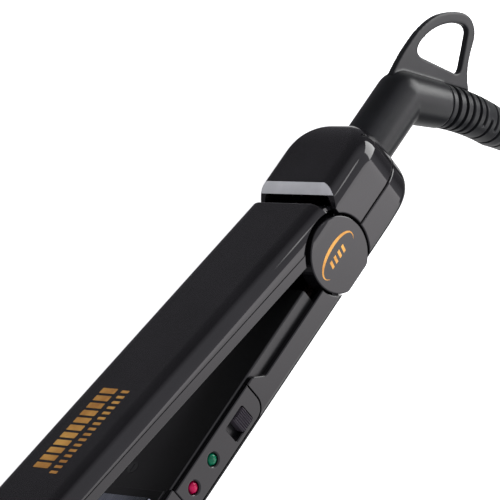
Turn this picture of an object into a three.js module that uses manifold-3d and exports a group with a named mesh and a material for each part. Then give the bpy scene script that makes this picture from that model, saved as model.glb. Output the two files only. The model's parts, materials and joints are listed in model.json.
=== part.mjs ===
// Hair straightener lying on its side, arms open. Millimetres, +Z up.
// The hinge axis is the Z axis. +X points to the arm tips, -Y to the moving arm's outer face.
import * as THREE from 'three';
import { mergeVertices } from 'three/addons/utils/BufferGeometryUtils.js';
import Module from 'manifold-3d';

const wasm = await Module();
wasm.setup();

// ---- driving dimensions -------------------------------------------------------------
const WIDTH = 41; // across the arms, floor side at z = 0
const MID = WIDTH / 2;
const TIP_X = 228;
const WALL = 2.2;
const GAP = 0.3;
const OPEN_ANGLE = THREE.MathUtils.degToRad(8.5);

const HOUSING = {
  outerY: 12.6, // fixed arm's outer face
  coverY: -20, // rear cover's outer face
  domeX: -33, // where the straight sides end
  domeLength: 19.5,
  nearShoulder: 8,
  farShoulder: 5,
};
const HINGE = { capR: 14.4, wellR: 15.1, armR: 16.5, pinR: 2.5, boreR: 2.8, capZ: 36.8 };
const ARM = {
  outerY: -18.5, // moving arm closed, where the plates begin
  lean: 0.013, // slope of the outer face
  seamY: -10.8, // between outer shell and trim
  innerY: -6.6, // edge that faces the fixed arm
  rearX: -5.2,
  shoulder: 7.4,
};
const PLATE = { x0: 120, x1: 220, z0: 6.5, z1: 34.5, fixedY: -5.15, movingY: -5.45, thick: 2.9, float: 0.8 };
const PANEL_X = { from: 20, to: 115.5 };
const CONTROL = { x0: 64.3, x1: 114, y0: -2, y1: 10.2 };
const SWITCH = { x0: 71.3, x1: 82.4, y0: 1.2, y1: 8.3, knob: 6.3 };
const LAMP = { r: 2.5, y: 4, greenX: 94.2, redX: 107.3 };
const NECK = { y: -2.9, r: 9.9, bendX: -76.3, tailR: 8.9, tail: 20.3 };
const BEND = new THREE.Vector3(-0.563, 0.827, 0).normalize();
const SWIVEL = { flangeX: -43.4, flangeR: 10.9, bushX: -40.5, spigotX: -33.6, ringEndX: -32.1, spigotR: 6 };
const LOOP_THICK = 3;
const BOOT = { r0: 8.6, r1: 8, r2: 4.6, taperAt: 0.6, pitch: 3.8, depth: 0.9 };
const CORD = { r: 3.25, floorZ: 3.4 };
const COIL = { x: -198.5, y: 44, r: 38, pitch: 6.7 };
const PLUG = { x: -201.5, y: -28, z: 7.1, relief: 16, body: 34, pin: 19, pinR: 2, spread: 9.3 };

// ---- mesh and boolean helpers -------------------------------------------------------
const solid = (geometry) => {
  const bare = geometry.index ? geometry.toNonIndexed() : geometry.clone();
  bare.deleteAttribute('normal');
  bare.deleteAttribute('uv');
  const merged = mergeVertices(bare, 1e-4);
  return new wasm.Manifold(new wasm.Mesh({
    numProp: 3,
    vertProperties: new Float32Array(merged.attributes.position.array),
    triVerts: new Uint32Array(merged.index.array),
  }));
};

const toGeometry = (body) => {
  const mesh = body.getMesh();
  const geometry = new THREE.BufferGeometry();
  geometry.setAttribute('position', new THREE.BufferAttribute(mesh.vertProperties, 3));
  geometry.setIndex(new THREE.BufferAttribute(mesh.triVerts, 1));
  const flat = geometry.toNonIndexed();
  flat.computeVertexNormals();
  return flat;
};

const join = (...bodies) => bodies.reduce((a, b) => a.add(b));
const cut = (body, ...tools) => tools.reduce((a, b) => a.subtract(b), body);

const extrude = (shape, depth, basis, offset, segments = 6) => {
  const geometry = new THREE.ExtrudeGeometry(shape, { depth, bevelEnabled: false, curveSegments: segments });
  geometry.applyMatrix4(new THREE.Matrix4().makeBasis(...basis));
  geometry.translate(...offset);
  return solid(geometry);
};
const X = new THREE.Vector3(1, 0, 0);
const Y = new THREE.Vector3(0, 1, 0);
const Z = new THREE.Vector3(0, 0, 1);
// Each extruder names the axis it extrudes along; the shape is drawn in the other two.
const alongZ = (shape, z0, z1, segments) => extrude(shape, z1 - z0, [X, Y, Z], [0, 0, z0], segments);
const alongX = (shape, x0, x1, segments) => extrude(shape, x1 - x0, [Y, Z, X], [x0, 0, 0], segments);
const alongY = (shape, y0, y1, segments) =>
  extrude(shape, y1 - y0, [X, Z, Y.clone().negate()], [0, y1, 0], segments);

const box = (x0, x1, y0, y1, z0, z1) => {
  const geometry = new THREE.BoxGeometry(x1 - x0, y1 - y0, z1 - z0);
  geometry.translate((x0 + x1) / 2, (y0 + y1) / 2, (z0 + z1) / 2);
  return solid(geometry);
};

const TURN = { x: new THREE.Matrix4().makeRotationZ(-Math.PI / 2), y: new THREE.Matrix4(),
  z: new THREE.Matrix4().makeRotationX(Math.PI / 2) };
const rod = (axis, r, from, to, u, v, sides = 24) => {
  const geometry = new THREE.CylinderGeometry(r, r, to - from, sides);
  geometry.applyMatrix4(TURN[axis]);
  const middle = (from + to) / 2;
  const place = { x: [middle, u, v], y: [u, middle, v], z: [u, v, middle] }[axis];
  geometry.translate(...place);
  return solid(geometry);
};

const polygon = (points) => new THREE.Shape(points.map(([u, v]) => new THREE.Vector2(u, v)));

// A rectangle whose corners are rounded: radii in the order (u0,v0), (u1,v0), (u1,v1), (u0,v1).
const rounded = (u0, v0, u1, v1, radii) => {
  const [a, b, c, d] = radii.length ? radii : [radii, radii, radii, radii];
  const shape = new THREE.Shape();
  shape.moveTo(u0 + a, v0);
  shape.lineTo(u1 - b, v0);
  if (b) shape.absarc(u1 - b, v0 + b, b, -Math.PI / 2, 0);
  shape.lineTo(u1, v1 - c);
  if (c) shape.absarc(u1 - c, v1 - c, c, 0, Math.PI / 2);
  shape.lineTo(u0 + d, v1);
  if (d) shape.absarc(u0 + d, v1 - d, d, Math.PI / 2, Math.PI);
  shape.lineTo(u0, v0 + a);
  if (a) shape.absarc(u0 + a, v0 + a, a, Math.PI, Math.PI * 1.5);
  return shape;
};

// How far the outer faces have drawn in towards the tips at x.
const TAPER = { from: 118, to: 219, by: 1.5 };
const taperAt = (x) => TAPER.by * Math.max(0, (x - TAPER.from) / (TAPER.to - TAPER.from));

// ---- outlines shared by the shells ---------------------------------------------------
// Plan outline in X and Z: straight arm, rounded tip corners and a half-ellipse dome at the rear.
const planOutline = (inset, tipRadius = 9) => {
  const z0 = inset;
  const z1 = WIDTH - inset;
  const tip = TIP_X - inset;
  const r = tipRadius - inset;
  const shape = new THREE.Shape();
  shape.moveTo(HOUSING.domeX, z0);
  shape.lineTo(tip - r, z0);
  shape.absarc(tip - r, z0 + r, r, -Math.PI / 2, 0);
  shape.lineTo(tip, z1 - r);
  shape.absarc(tip - r, z1 - r, r, 0, Math.PI / 2);
  shape.lineTo(HOUSING.domeX, z1);
  const height = (z1 - z0) / 2;
  shape.absellipse(HOUSING.domeX, MID, HOUSING.domeLength - inset, height, Math.PI / 2, Math.PI * 1.5);
  return shape;
};

// Fixed arm's side outline in X and Y, from the parting edge round to the outer face.
const fixedOutline = (inset) => {
  const outer = HOUSING.outerY - inset;
  const rear = HOUSING.domeX - HOUSING.domeLength + inset;
  const open = inset > 0; // the inner cavity runs out through the parting side
  const top = (y) => (open ? -30 : y);
  const shape = new THREE.Shape();
  shape.moveTo(rear, top(GAP / 2));
  shape.lineTo(rear, 2);
  shape.quadraticCurveTo(rear, outer, rear + 13, outer);
  shape.lineTo(TAPER.from, outer);
  shape.lineTo(TAPER.to, outer - TAPER.by);
  shape.quadraticCurveTo(TIP_X - inset, outer - TAPER.by, TIP_X - inset, 3);
  shape.lineTo(TIP_X - inset, top(-3.5));
  if (!open) {
    shape.lineTo(114.4, -3.5);
    shape.lineTo(113.4, CONTROL.y0);
    shape.lineTo(61.5, CONTROL.y0);
    shape.bezierCurveTo(58, CONTROL.y0, 58.5, 2.5, 55, 2.5);
    shape.lineTo(15, 2.5);
    shape.lineTo(15, GAP / 2);
  }
  return shape;
};

const hingeWell = (r) => join(rod('z', r, HINGE.capZ - 0.5, WIDTH + 1, 0, 0, 48),
  rod('z', r, -1, WIDTH - HINGE.capZ + 0.5, 0, 0, 48));
const neckHole = () => rod('x', NECK.r + GAP, -60, -43.6, NECK.y, MID, 32);
const mirrorZ = (z0, z1) => [WIDTH - z1, WIDTH - z0];

// ---- fixed arm -----------------------------------------------------------------------
const COVER_SCREWS = [[-30, 11], [-30, 30]];
const PANEL_SCREWS = [[30, MID], [106, 12]];

const screwPost = (x, z, y0, y1) => cut(rod('y', 3.2, y0, y1, x, z, 14),
  rod('y', 1.6, y0 - 1, y1 + 1, x, z, 10));

function fixedArmShell() {
  const section = rounded(-30, 0, HOUSING.outerY, WIDTH, [0, 3, 3, 0]);
  const outer = alongZ(fixedOutline(0), 0, WIDTH, 8)
    .intersect(alongY(planOutline(0), -30, 20, 10)).intersect(alongX(section, -60, TIP_X + 1, 5));
  const cavity = alongZ(fixedOutline(WALL), WALL, WIDTH - WALL, 5)
    .intersect(alongY(planOutline(WALL), -40, 20, 8));
  let shell = cut(outer, cavity);
  for (const [z0, z1] of [[34.8, 36.3], mirrorZ(34.8, 36.3)]) {
    const ledge = cut(rod('z', 16.4, z0, z1, 0, 0, 32), rod('z', 6.3, z0 - 1, z1 + 1, 0, 0, 20),
      box(-20, 20, -20, GAP / 2, z0 - 1, z1 + 1), box(-20, 20, 11.5, 20, z0 - 1, z1 + 1));
    shell = join(shell, ledge);
  }
  const seat = box(CONTROL.x0 - 2, CONTROL.x1 + 1.2, -1, 9.9, 37.4, 39);
  shell = join(shell, seat);
  const opening = rounded(CONTROL.x0 - GAP, CONTROL.y0 - 2, CONTROL.x1 + GAP, CONTROL.y1 + GAP,
    [0, 0, 3.6, 3.6]);
  const throat = rounded(CONTROL.x0 + 2, -3, CONTROL.x1 - 2, 9.3, 1);
  const heads = COVER_SCREWS.map(([x, z]) => rod('y', 2.9, 10.2, 14, x, z, 16));
  const shafts = COVER_SCREWS.map(([x, z]) => rod('y', 1.6, 8, 14, x, z, 12));
  shell = cut(shell, hingeWell(HINGE.wellR), neckHole(), alongZ(opening, 39.1, 42, 5),
    alongZ(throat, 36, 42, 3), ...heads, ...shafts);
  return join(shell, ...PANEL_SCREWS.map(([x, z]) => screwPost(x, z, 0.6, 10.8)));
}

function rearCover() {
  const side = (inset) => {
    const outer = HOUSING.coverY + inset * 1.25;
    const rear = HOUSING.domeX - HOUSING.domeLength + inset;
    const base = inset > 0 ? 30 : -GAP / 2;
    const shape = new THREE.Shape();
    shape.moveTo(rear, base);
    shape.lineTo(rear, -7);
    shape.quadraticCurveTo(rear, outer, rear + 16, outer);
    if (inset > 0) {
      shape.lineTo(20, outer);
      shape.lineTo(20, base);
      return shape;
    }
    shape.lineTo(-18, outer);
    shape.lineTo(-11, -13);
    shape.lineTo(-11, base);
    return shape;
  };
  const section = rounded(HOUSING.coverY, 0, 30, WIDTH, [HOUSING.farShoulder, 0, 0, HOUSING.nearShoulder]);
  const inner = rounded(HOUSING.coverY + 2.75, WALL, 30, WIDTH - WALL,
    [HOUSING.farShoulder - 2, 0, 0, HOUSING.nearShoulder - 2]);
  const outer = alongZ(side(0), 0, WIDTH, 8)
    .intersect(alongY(planOutline(0), -30, 20, 10)).intersect(alongX(section, -60, 30, 6));
  const cavity = alongZ(side(WALL), 0, WIDTH, 5)
    .intersect(alongY(planOutline(WALL), -40, 20, 8)).intersect(alongX(inner, -60, 30, 5));
  const posts = COVER_SCREWS.map(([x, z]) => screwPost(x, z, -18, -GAP));
  const well = rod('z', HINGE.wellR + 0.2, -1, WIDTH + 1, 0, 0, 48);
  return cut(join(cut(outer, cavity), ...posts), well, neckHole());
}

function fixedInnerPanel() {
  const { from, to } = PANEL_X;
  const z0 = WALL + GAP;
  const z1 = WIDTH - z0;
  const deck = alongX(rounded(-2.8, z0, -1.2, z1, [1, 0, 0, 1]), from, to, 3);
  const skirt = join(box(from, to, -1.5, 4, z0, z0 + 1.5), box(from, 61.5, -1.5, 4, z1 - 1.5, z1),
    box(from, from + 1.5, -1.5, 4, z0, z1));
  const bosses = PANEL_SCREWS.map(([x, z]) => rod('y', 4.2, -1.4, 0.3, x, z, 16));
  const heads = PANEL_SCREWS.map(([x, z]) => rod('y', 2.9, -4, -1.1, x, z, 16));
  const shafts = PANEL_SCREWS.map(([x, z]) => rod('y', 1.6, -4, 1, x, z, 12));
  return cut(join(deck, skirt, ...bosses), ...heads, ...shafts);
}

function controlPanel() {
  const outline = rounded(CONTROL.x0, CONTROL.y0, CONTROL.x1, CONTROL.y1, [0.4, 0.4, 3.3, 3.3]);
  const panel = alongZ(outline, 39.4, WIDTH, 6);
  const window = alongZ(rounded(SWITCH.x0, SWITCH.y0, SWITCH.x1, SWITCH.y1, 0.4), 38, 42, 2);
  const lampHoles = [LAMP.greenX, LAMP.redX].map((x) => {
    const profile = [[0, 39], [LAMP.r + GAP, 39], [LAMP.r + GAP, 40], [LAMP.r + 1, 41.2], [0, 41.2]];
    const geometry = new THREE.LatheGeometry(profile.map(([r, z]) => new THREE.Vector2(r, z)), 20);
    geometry.applyMatrix4(TURN.z);
    geometry.translate(x, LAMP.y, 0);
    return solid(geometry);
  });
  return cut(panel, window, ...lampHoles);
}

const switchWell = () => cut(box(69.8, 83.3, 0.6, 9.2, 35.2, 39.1), box(71, 82.1, 1.4, 8.9, 37.6, 40));
const switchBody = () => box(72, 81, 1.6, 8.4, 31.2, 34.9);

function switchSlider() {
  const x0 = SWITCH.x0 + GAP;
  const x1 = x0 + SWITCH.knob;
  const base = box(x0, x1, SWITCH.y0 + GAP, SWITCH.y1 - GAP, 37.9, 41.2);
  const ribs = 6;
  const pitch = SWITCH.knob / ribs;
  const teeth = [];
  for (let i = 0; i < ribs; i += 1) {
    const start = x0 + i * pitch + 0.2;
    teeth.push(box(start, start + pitch * 0.55, SWITCH.y0 + GAP, SWITCH.y1 - GAP, 41, 41.9));
  }
  return join(base, ...teeth);
}

function lamp(x) {
  const profile = [[0, 34.6], [LAMP.r, 34.6], [LAMP.r, 40.2], [2.2, 40.8], [1.3, 41.25], [0, 41.4]];
  const geometry = new THREE.LatheGeometry(profile.map(([r, z]) => new THREE.Vector2(r, z)), 20);
  geometry.applyMatrix4(TURN.z);
  geometry.translate(x, LAMP.y, 0);
  return solid(geometry);
}

const circuitBoard = () => box(64.5, 112, 0.4, 8.8, 29.2, 30.8);
const powerModule = () => box(88, 103, 1, 8, 22.5, 28.9);
const thermalFuse = () => rod('x', 1.7, 106, 114, 4, 22, 12);

function screw(x, z, headY, direction, length) {
  const under = headY + direction * 1.5;
  const head = rod('y', 2.5, Math.min(headY, under), Math.max(headY, under), x, z, 14);
  const end = headY + direction * length;
  const shaft = rod('y', 1.3, Math.min(headY + direction, end), Math.max(headY + direction, end), x, z, 10);
  const slot = box(x - 1.6, x + 1.6, headY - 0.5, headY + 0.5, z - 0.3, z + 0.3);
  return cut(join(head, shaft), slot);
}

// ---- hinge ---------------------------------------------------------------------------
const hingePin = () => rod('z', HINGE.pinR, 2.3, WIDTH - 2.3, 0, 0, 20);

// One cap; the rim has a small chamfer, and one side follows the housing's rounded shoulder.
function hingeCap(top) {
  const r = HINGE.capR;
  const profile = [[0, 34], [5.9, 34], [5.9, HINGE.capZ], [r, HINGE.capZ], [r, 40.2], [r - 0.8, WIDTH],
    [0, WIDTH]];
  const geometry = new THREE.LatheGeometry(profile.map(([a, b]) => new THREE.Vector2(a, b)), 48);
  geometry.applyMatrix4(TURN.z);
  if (!top) {
    geometry.rotateX(Math.PI);
    geometry.translate(0, 0, WIDTH);
  }
  const z = top ? [33, 39] : [2, 8];
  const section = rounded(HOUSING.coverY, 0, HOUSING.outerY, WIDTH,
    top ? [0, 2, 2, 9] : [6, 2, 2, 0]);
  return cut(solid(geometry).intersect(alongX(section, -16, 16, 6)), rod('z', HINGE.boreR, ...z, 0, 0, 20));
}

// The vertices of a swept tube: a round section carried along a curve.
const circle = (r, sides) => {
  const points = [];
  for (let i = 0; i < sides; i += 1) {
    const angle = (i / sides) * Math.PI * 2;
    points.push(new THREE.Vector2(r * Math.cos(angle), r * Math.sin(angle)));
  }
  return new THREE.Shape(points);
};
const tube = (curve, r, sides, steps) =>
  solid(new THREE.ExtrudeGeometry(circle(r, sides), { steps, bevelEnabled: false, extrudePath: curve }));
const smooth = (points) => {
  const places = points.map((p) => new THREE.Vector3(...p));
  return new THREE.CatmullRomCurve3(places, false, 'centripetal');
};

function openingSpring() {
  const points = [[13, 6.5, 16]];
  const turns = 4.55;
  const steps = 46;
  for (let i = 0; i <= steps; i += 1) {
    const angle = Math.PI * 0.62 + (i / steps) * turns * Math.PI * 2;
    points.push([4.4 * Math.cos(angle), 4.4 * Math.sin(angle), 16 + (i / steps) * 8.6]);
  }
  points.push([13.5, -4.6, 24.6]);
  return tube(smooth(points), 0.65, 6, 76);
}

// ---- heater pieces -------------------------------------------------------------------
// side is +1 for the fixed arm and -1 for the moving arm; face is the plate's hair side.
function heaterPlate(side, face) {
  const back = face + side * PLATE.thick;
  const shape = rounded(Math.min(face, back), PLATE.z0, Math.max(face, back), PLATE.z1,
    side > 0 ? [1.4, 0, 0, 1.4] : [0, 1.4, 1.4, 0]);
  return alongX(shape, PLATE.x0, PLATE.x1, 4);
}
const span = (a, b) => [Math.min(a, b), Math.max(a, b)];
const heaterElement = (side, face) => {
  const start = face + side * (PLATE.thick + GAP);
  return box(130, 210, ...span(start, start + side * 2.2), 10, 31);
};
// A soft block between the heater and the shell's inner face, short of the heater by the float.
const plateCushion = (side, face, backing, x) => {
  const start = face + side * (PLATE.thick + GAP * 2 + 2.2 + PLATE.float);
  const end = backing - side * (GAP + taperAt(x + 5));
  return box(x - 5, x + 5, ...span(start, end), 15, 26);
};
function plateCarrier(side, face) {
  const front = face + side * 0.55;
  const outline = rounded(116, WALL + GAP, 223.5, WIDTH - WALL - GAP, [0, 7, 7, 0]);
  const frame = alongY(outline, ...span(front, front + side * 3.2), 5);
  const rails = box(118, 222, ...span(front + side * 3, front + side * 6.4), 4.4, 36.6);
  const window = box(PLATE.x0 - GAP, PLATE.x1 + GAP, ...span(front - side, front + side * 4),
    PLATE.z0 - GAP, PLATE.z1 + GAP);
  const hollow = box(128.5, 211.5, ...span(front, front + side * 9), 9.4, 31.6);
  return cut(join(frame, rails), window, hollow);
}

const YOKE_SCREW_Z = [14, 27];

// ---- moving arm, drawn closed and turned open by its group ----------------------------
// The outer face leans outwards from the tips to the pivot.
const armOuter = (x) => ARM.outerY + ARM.lean * (x - TAPER.from);
const alongArm = (shape, x0, x1, segments) => {
  const along = new THREE.Vector3(1, ARM.lean, 0).normalize();
  const across = new THREE.Vector3().crossVectors(Z, along);
  return extrude(shape, x1 - x0, [across, Z, along], [x0, armOuter(x0) - ARM.outerY, 0], segments);
};

function movingArmShell() {
  const side = (inset) => {
    const outer = (x) => armOuter(x) + inset;
    const tip = TIP_X - inset;
    const rear = inset > 0 ? -40 : ARM.rearX + 0.8;
    const shape = new THREE.Shape();
    const base = inset > 0 ? 10 : ARM.seamY - GAP / 2;
    shape.moveTo(inset > 0 ? -40 : ARM.rearX, base);
    shape.lineTo(tip, base);
    shape.lineTo(tip, outer(tip) + 4.4);
    shape.quadraticCurveTo(tip, outer(tip), TAPER.to, outer(TAPER.to));
    shape.lineTo(rear, outer(rear));
    if (!inset) shape.lineTo(ARM.rearX, outer(rear) + 0.8);
    return shape;
  };
  const plan = (inset) => alongY(planOutline(inset), -40, 20, 8);
  const section = rounded(ARM.outerY, 0, 20, WIDTH, [ARM.shoulder - 1, 0, 0, ARM.shoulder]);
  const outer = alongZ(side(0), 0, WIDTH, 8).intersect(plan(0)).intersect(alongArm(section, -60, 240, 7));
  const inner = rounded(ARM.outerY + 2, WALL, 20, WIDTH - WALL, [ARM.shoulder - 3, 0, 0, ARM.shoulder - 2]);
  const cavity = alongZ(side(2), WALL, WIDTH - WALL, 5).intersect(plan(WALL))
    .intersect(alongArm(inner, -60, 240, 5));
  const reach = new THREE.Shape();
  reach.absarc(0, 0, 17.8, Math.PI * 1.456, Math.PI * 1.18, true);
  reach.absarc(0, 0, HINGE.armR, Math.PI * 1.18, Math.PI * 1.456, false);
  const tongue = alongZ(reach, WALL + 0.6, WIDTH - WALL - 0.6, 8);
  const shell = cut(outer, cavity, rod('z', HINGE.armR, -1, WIDTH + 1, 0, 0, 64));
  const posts = YOKE_SCREW_Z.map((z) => [24, z]).map(([x, z]) => screwPost(x, z, armOuter(24) + 1.7, -14.8));
  return join(shell, tongue, ...posts);
}

function movingArmTrim() {
  const ring = alongZ(rounded(10, ARM.seamY + GAP / 2, TIP_X, ARM.innerY, [0, 0, 2, 0]), 0, WIDTH, 4)
    .intersect(alongY(planOutline(0), -40, 20, 8));
  const hole = alongY(planOutline(WALL), -40, 20, 8);
  return cut(ring, hole, rod('z', HINGE.armR, -1, WIDTH + 1, 0, 0, 64));
}

const MOVING_SCREWS = [[34, MID], [108, MID]];
function movingInnerPanel() {
  const deck = box(PANEL_X.from + 0.5, PANEL_X.to, -8.4, -7, WALL + GAP, WIDTH - WALL - GAP);
  const bosses = MOVING_SCREWS.map(([x, z]) => rod('y', 3.4, -10.4, -8, x, z, 14));
  const heads = MOVING_SCREWS.map(([x, z]) => rod('y', 2.8, -9, -6, x, z, 16));
  const shafts = MOVING_SCREWS.map(([x, z]) => rod('y', 1.6, -12, -6, x, z, 12));
  return cut(join(deck, ...bosses), ...heads, ...shafts);
}

// Two cheeks turn on the pin and a web joins them inside the moving arm.
function movingYoke() {
  const cheek = (z0, z1) => {
    const strap = polygon([[3, -6.2], [14, -13.6], [26, -14.5], [26, -9.3], [13, -8.1], [5.6, 1.5]].reverse());
    return cut(join(rod('z', 6.8, z0, z1, 0, 0, 24), alongZ(strap, z0, z1)),
      rod('z', HINGE.boreR, z0 - 1, z1 + 1, 0, 0, 20));
  };
  const web = box(21.8, 26, -14.5, -9.3, 8, 33);
  const heads = YOKE_SCREW_Z.map((z) => rod('y', 2.8, -11.4, -9, 24, z, 14));
  const shafts = YOKE_SCREW_Z.map((z) => rod('y', 1.6, -16, -9, 24, z, 10));
  return cut(join(cheek(7.3, 10.8), cheek(30.2, 33.7), web), ...heads, ...shafts);
}

// ---- swivelling cord outlet -----------------------------------------------------------
const bendPoint = new THREE.Vector3(NECK.bendX, NECK.y, MID);
const tailEnd = bendPoint.clone().addScaledVector(BEND, NECK.tail);

function loopPlate() {
  const outline = new THREE.Shape();
  outline.moveTo(-78, -8);
  outline.lineTo(-79, -12.8);
  outline.bezierCurveTo(-92, -15.1, -104, -15, -112.4, -10.2);
  outline.bezierCurveTo(-118.2, -6.4, -123.4, -1.2, -122.9, 3.4);
  outline.quadraticCurveTo(-122.2, 8.4, -117, 10.4);
  outline.bezierCurveTo(-109, 13.4, -105, 16.4, -101.5, 22);
  outline.lineTo(-94, 12);
  const hole = new THREE.Shape();
  hole.moveTo(-97.4, -10.2);
  hole.bezierCurveTo(-104, -10.4, -110.8, -7.2, -115.6, -2.2);
  hole.quadraticCurveTo(-118.2, 0.6, -118.8, 3);
  hole.quadraticCurveTo(-119, 5, -116.2, 6.5);
  hole.lineTo(-105.8, 12.1);
  hole.quadraticCurveTo(-102.6, 13.8, -101.4, 10.4);
  hole.lineTo(-94.3, -5.2);
  hole.quadraticCurveTo(-92.2, -10, -97.4, -10.2);
  const plate = alongZ(outline, MID - LOOP_THICK / 2, MID + LOOP_THICK / 2, 7);
  const bootSpace = new THREE.CylinderGeometry(BOOT.r0 + 0.4, BOOT.r0 + 0.4, 40, 24);
  bootSpace.applyQuaternion(new THREE.Quaternion().setFromUnitVectors(Y, BEND));
  bootSpace.translate(...tailEnd.clone().addScaledVector(BEND, 20));
  return cut(plate, alongZ(hole, MID - LOOP_THICK, MID + LOOP_THICK, 7), solid(bootSpace));
}

function swivelElbow() {
  const { flangeX, flangeR, bushX, spigotX, spigotR } = SWIVEL;
  const neck = join(rod('x', NECK.r, NECK.bendX, flangeX, NECK.y, MID, 32),
    rod('x', flangeR, flangeX, bushX - GAP, NECK.y, MID, 32),
    rod('x', spigotR, bushX - 1, spigotX, NECK.y, MID, 20));
  const ball = new THREE.SphereGeometry(NECK.r, 24, 14);
  ball.translate(...bendPoint);
  const tail = new THREE.CylinderGeometry(NECK.tailR, NECK.r, NECK.tail, 32);
  tail.applyQuaternion(new THREE.Quaternion().setFromUnitVectors(Y, BEND));
  tail.translate(...bendPoint.clone().addScaledVector(BEND, NECK.tail / 2));
  return join(neck, solid(ball), solid(tail), loopPlate());
}

const ring = (x0, x1, outer, inner) => cut(rod('x', outer, x0, x1, NECK.y, MID, 28),
  rod('x', inner, x0 - 1, x1 + 1, NECK.y, MID, 24));
const swivelBush = () => ring(SWIVEL.bushX, SWIVEL.bushX + 5, 11, SWIVEL.spigotR + GAP);
const slipRing = () => rod('x', 5, SWIVEL.spigotX + GAP, SWIVEL.ringEndX, NECK.y, MID, 20);
const brushBlock = () => box(SWIVEL.ringEndX + GAP, SWIVEL.ringEndX + 5, NECK.y - 5, NECK.y + 3,
  MID - 6, MID + 6);

// Boot centre line: straight out of the elbow, then drooping towards the floor.
const bootStart = tailEnd.clone().addScaledVector(BEND, GAP);
const bootCurve = new THREE.CubicBezierCurve3(
  bootStart,
  bootStart.clone().addScaledVector(BEND, 20),
  new THREE.Vector3(-107.2, 48, 14),
  new THREE.Vector3(-114.5, 64.6, 6.6),
);

function cordBoot() {
  const length = bootCurve.getLength();
  const profile = [new THREE.Vector2(0, 0)];
  const ribs = Math.floor(length / BOOT.pitch);
  const radius = (s) => {
    const share = s / length;
    if (share < BOOT.taperAt) return THREE.MathUtils.lerp(BOOT.r0, BOOT.r1, share / BOOT.taperAt);
    return THREE.MathUtils.lerp(BOOT.r1, BOOT.r2, (share - BOOT.taperAt) / (1 - BOOT.taperAt));
  };
  for (let i = 0; i < ribs; i += 1) {
    const s = (i * length) / ribs;
    const top = s + BOOT.pitch * 0.68;
    profile.push(new THREE.Vector2(radius(s), s), new THREE.Vector2(radius(top), top));
    if (i < ribs - 1) {
      profile.push(new THREE.Vector2(radius(top) - BOOT.depth, top + 0.15));
      profile.push(new THREE.Vector2(radius(top) - BOOT.depth, s + length / ribs - 0.15));
    }
  }
  profile.push(new THREE.Vector2(radius(length), length), new THREE.Vector2(0, length));
  const geometry = new THREE.LatheGeometry(profile, 14);
  bendAlong(geometry, bootCurve, length);
  return solid(geometry);
}

// Carries a solid of revolution about Y onto a curve, keeping each section square to it.
function bendAlong(geometry, curve, length) {
  const position = geometry.attributes.position;
  for (let i = 0; i < position.count; i += 1) {
    const along = THREE.MathUtils.clamp(position.getY(i) / length, 0, 1);
    const centre = curve.getPointAt(along);
    const tangent = curve.getTangentAt(along);
    const across = new THREE.Vector3().crossVectors(Z, tangent).normalize();
    const up = new THREE.Vector3().crossVectors(across, tangent);
    centre.addScaledVector(across, position.getX(i)).addScaledVector(up, position.getZ(i));
    position.setXYZ(i, centre.x, centre.y, centre.z);
  }
}

// ---- cord, coil, tie and plug ---------------------------------------------------------
const bootTip = bootCurve.getPoint(1);
const bootAim = bootCurve.getTangent(1);
const LEAD_END = [COIL.x + 24, COIL.y + COIL.r + 8.4, CORD.floorZ];
const COIL_TOP = 16.8; // centre height of the last strand, over the two layers of turns
const TAIL_TURN = 32;

// Out of the boot, settling onto the floor while turning to run along X.
const LEAD_ROUTE = [[-116, 68, 5.7], [-118.9, 73.3, 4.6], [-122.6, 78.1, 3.9], [-127, 82.2, 3.5],
  [-132.1, 85.5, 3.4], [-137.6, 87.9, 3.4], [-143.5, 89.4, 3.4], [-149.5, 89.9, 3.4]];

function cordLead() {
  const start = bootTip.clone().addScaledVector(bootAim, GAP + 0.4).toArray();
  return tube(smooth([start, ...LEAD_ROUTE, LEAD_END]), CORD.r, 8, 14);
}

// Off the top of the coil, straight across its outer turns, then down and round to the plug.
function cordTail() {
  const points = [100, 120, 140, 160, 180].map((degrees) => {
    const angle = THREE.MathUtils.degToRad(degrees);
    return [COIL.x + COIL.r * Math.cos(angle), COIL.y + COIL.r * Math.sin(angle), COIL_TOP];
  });
  const side = COIL.x - COIL.r;
  const turnX = side + TAIL_TURN;
  const turnY = PLUG.y + TAIL_TURN;
  points.push([side, 34, COIL_TOP], [side, 24, COIL_TOP], [side, 14, COIL_TOP - 0.1]);
  [0, 15, 30, 45, 60, 75, 90].forEach((degrees) => {
    const angle = THREE.MathUtils.degToRad(180 + degrees);
    const drop = THREE.MathUtils.smoothstep(degrees + 18, 0, 108) * (COIL_TOP - PLUG.z);
    points.push([turnX + TAIL_TURN * Math.cos(angle), turnY + TAIL_TURN * Math.sin(angle), COIL_TOP - drop]);
  });
  points.push([PLUG.x - 0.5, PLUG.y, PLUG.z]);
  return tube(smooth(points), CORD.r, 8, 30);
}

function cordCoil() {
  const inner = COIL.r - COIL.pitch - CORD.r;
  const outer = COIL.r + COIL.pitch + CORD.r;
  const z = [0.15, 13.4];
  const profile = [[inner, z[0]], [outer, z[0]], [outer, z[1]], [inner, z[1]], [inner, z[0]]];
  const geometry = new THREE.LatheGeometry(profile.map(([r, h]) => new THREE.Vector2(r, h)), 32);
  geometry.applyMatrix4(TURN.z);
  geometry.translate(COIL.x, COIL.y, 0);
  return solid(geometry);
}

// A band round one side of the coil, standing clear of it.
function coilTie() {
  const low = 0.02;
  const frame = (grow) => {
    const inner = COIL.r - COIL.pitch - CORD.r - GAP - grow;
    const outer = COIL.r + COIL.pitch + CORD.r + GAP + grow;
    return rounded(COIL.x + inner, low, COIL.x + outer, 20.4 + grow, 0.6);
  };
  const band = alongY(frame(1.2), COIL.y - 4, COIL.y + 4, 2);
  return cut(band, box(COIL.x + 27.4, COIL.x + 48.6, COIL.y - 5, COIL.y + 5, -1, 20.4));
}

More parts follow.
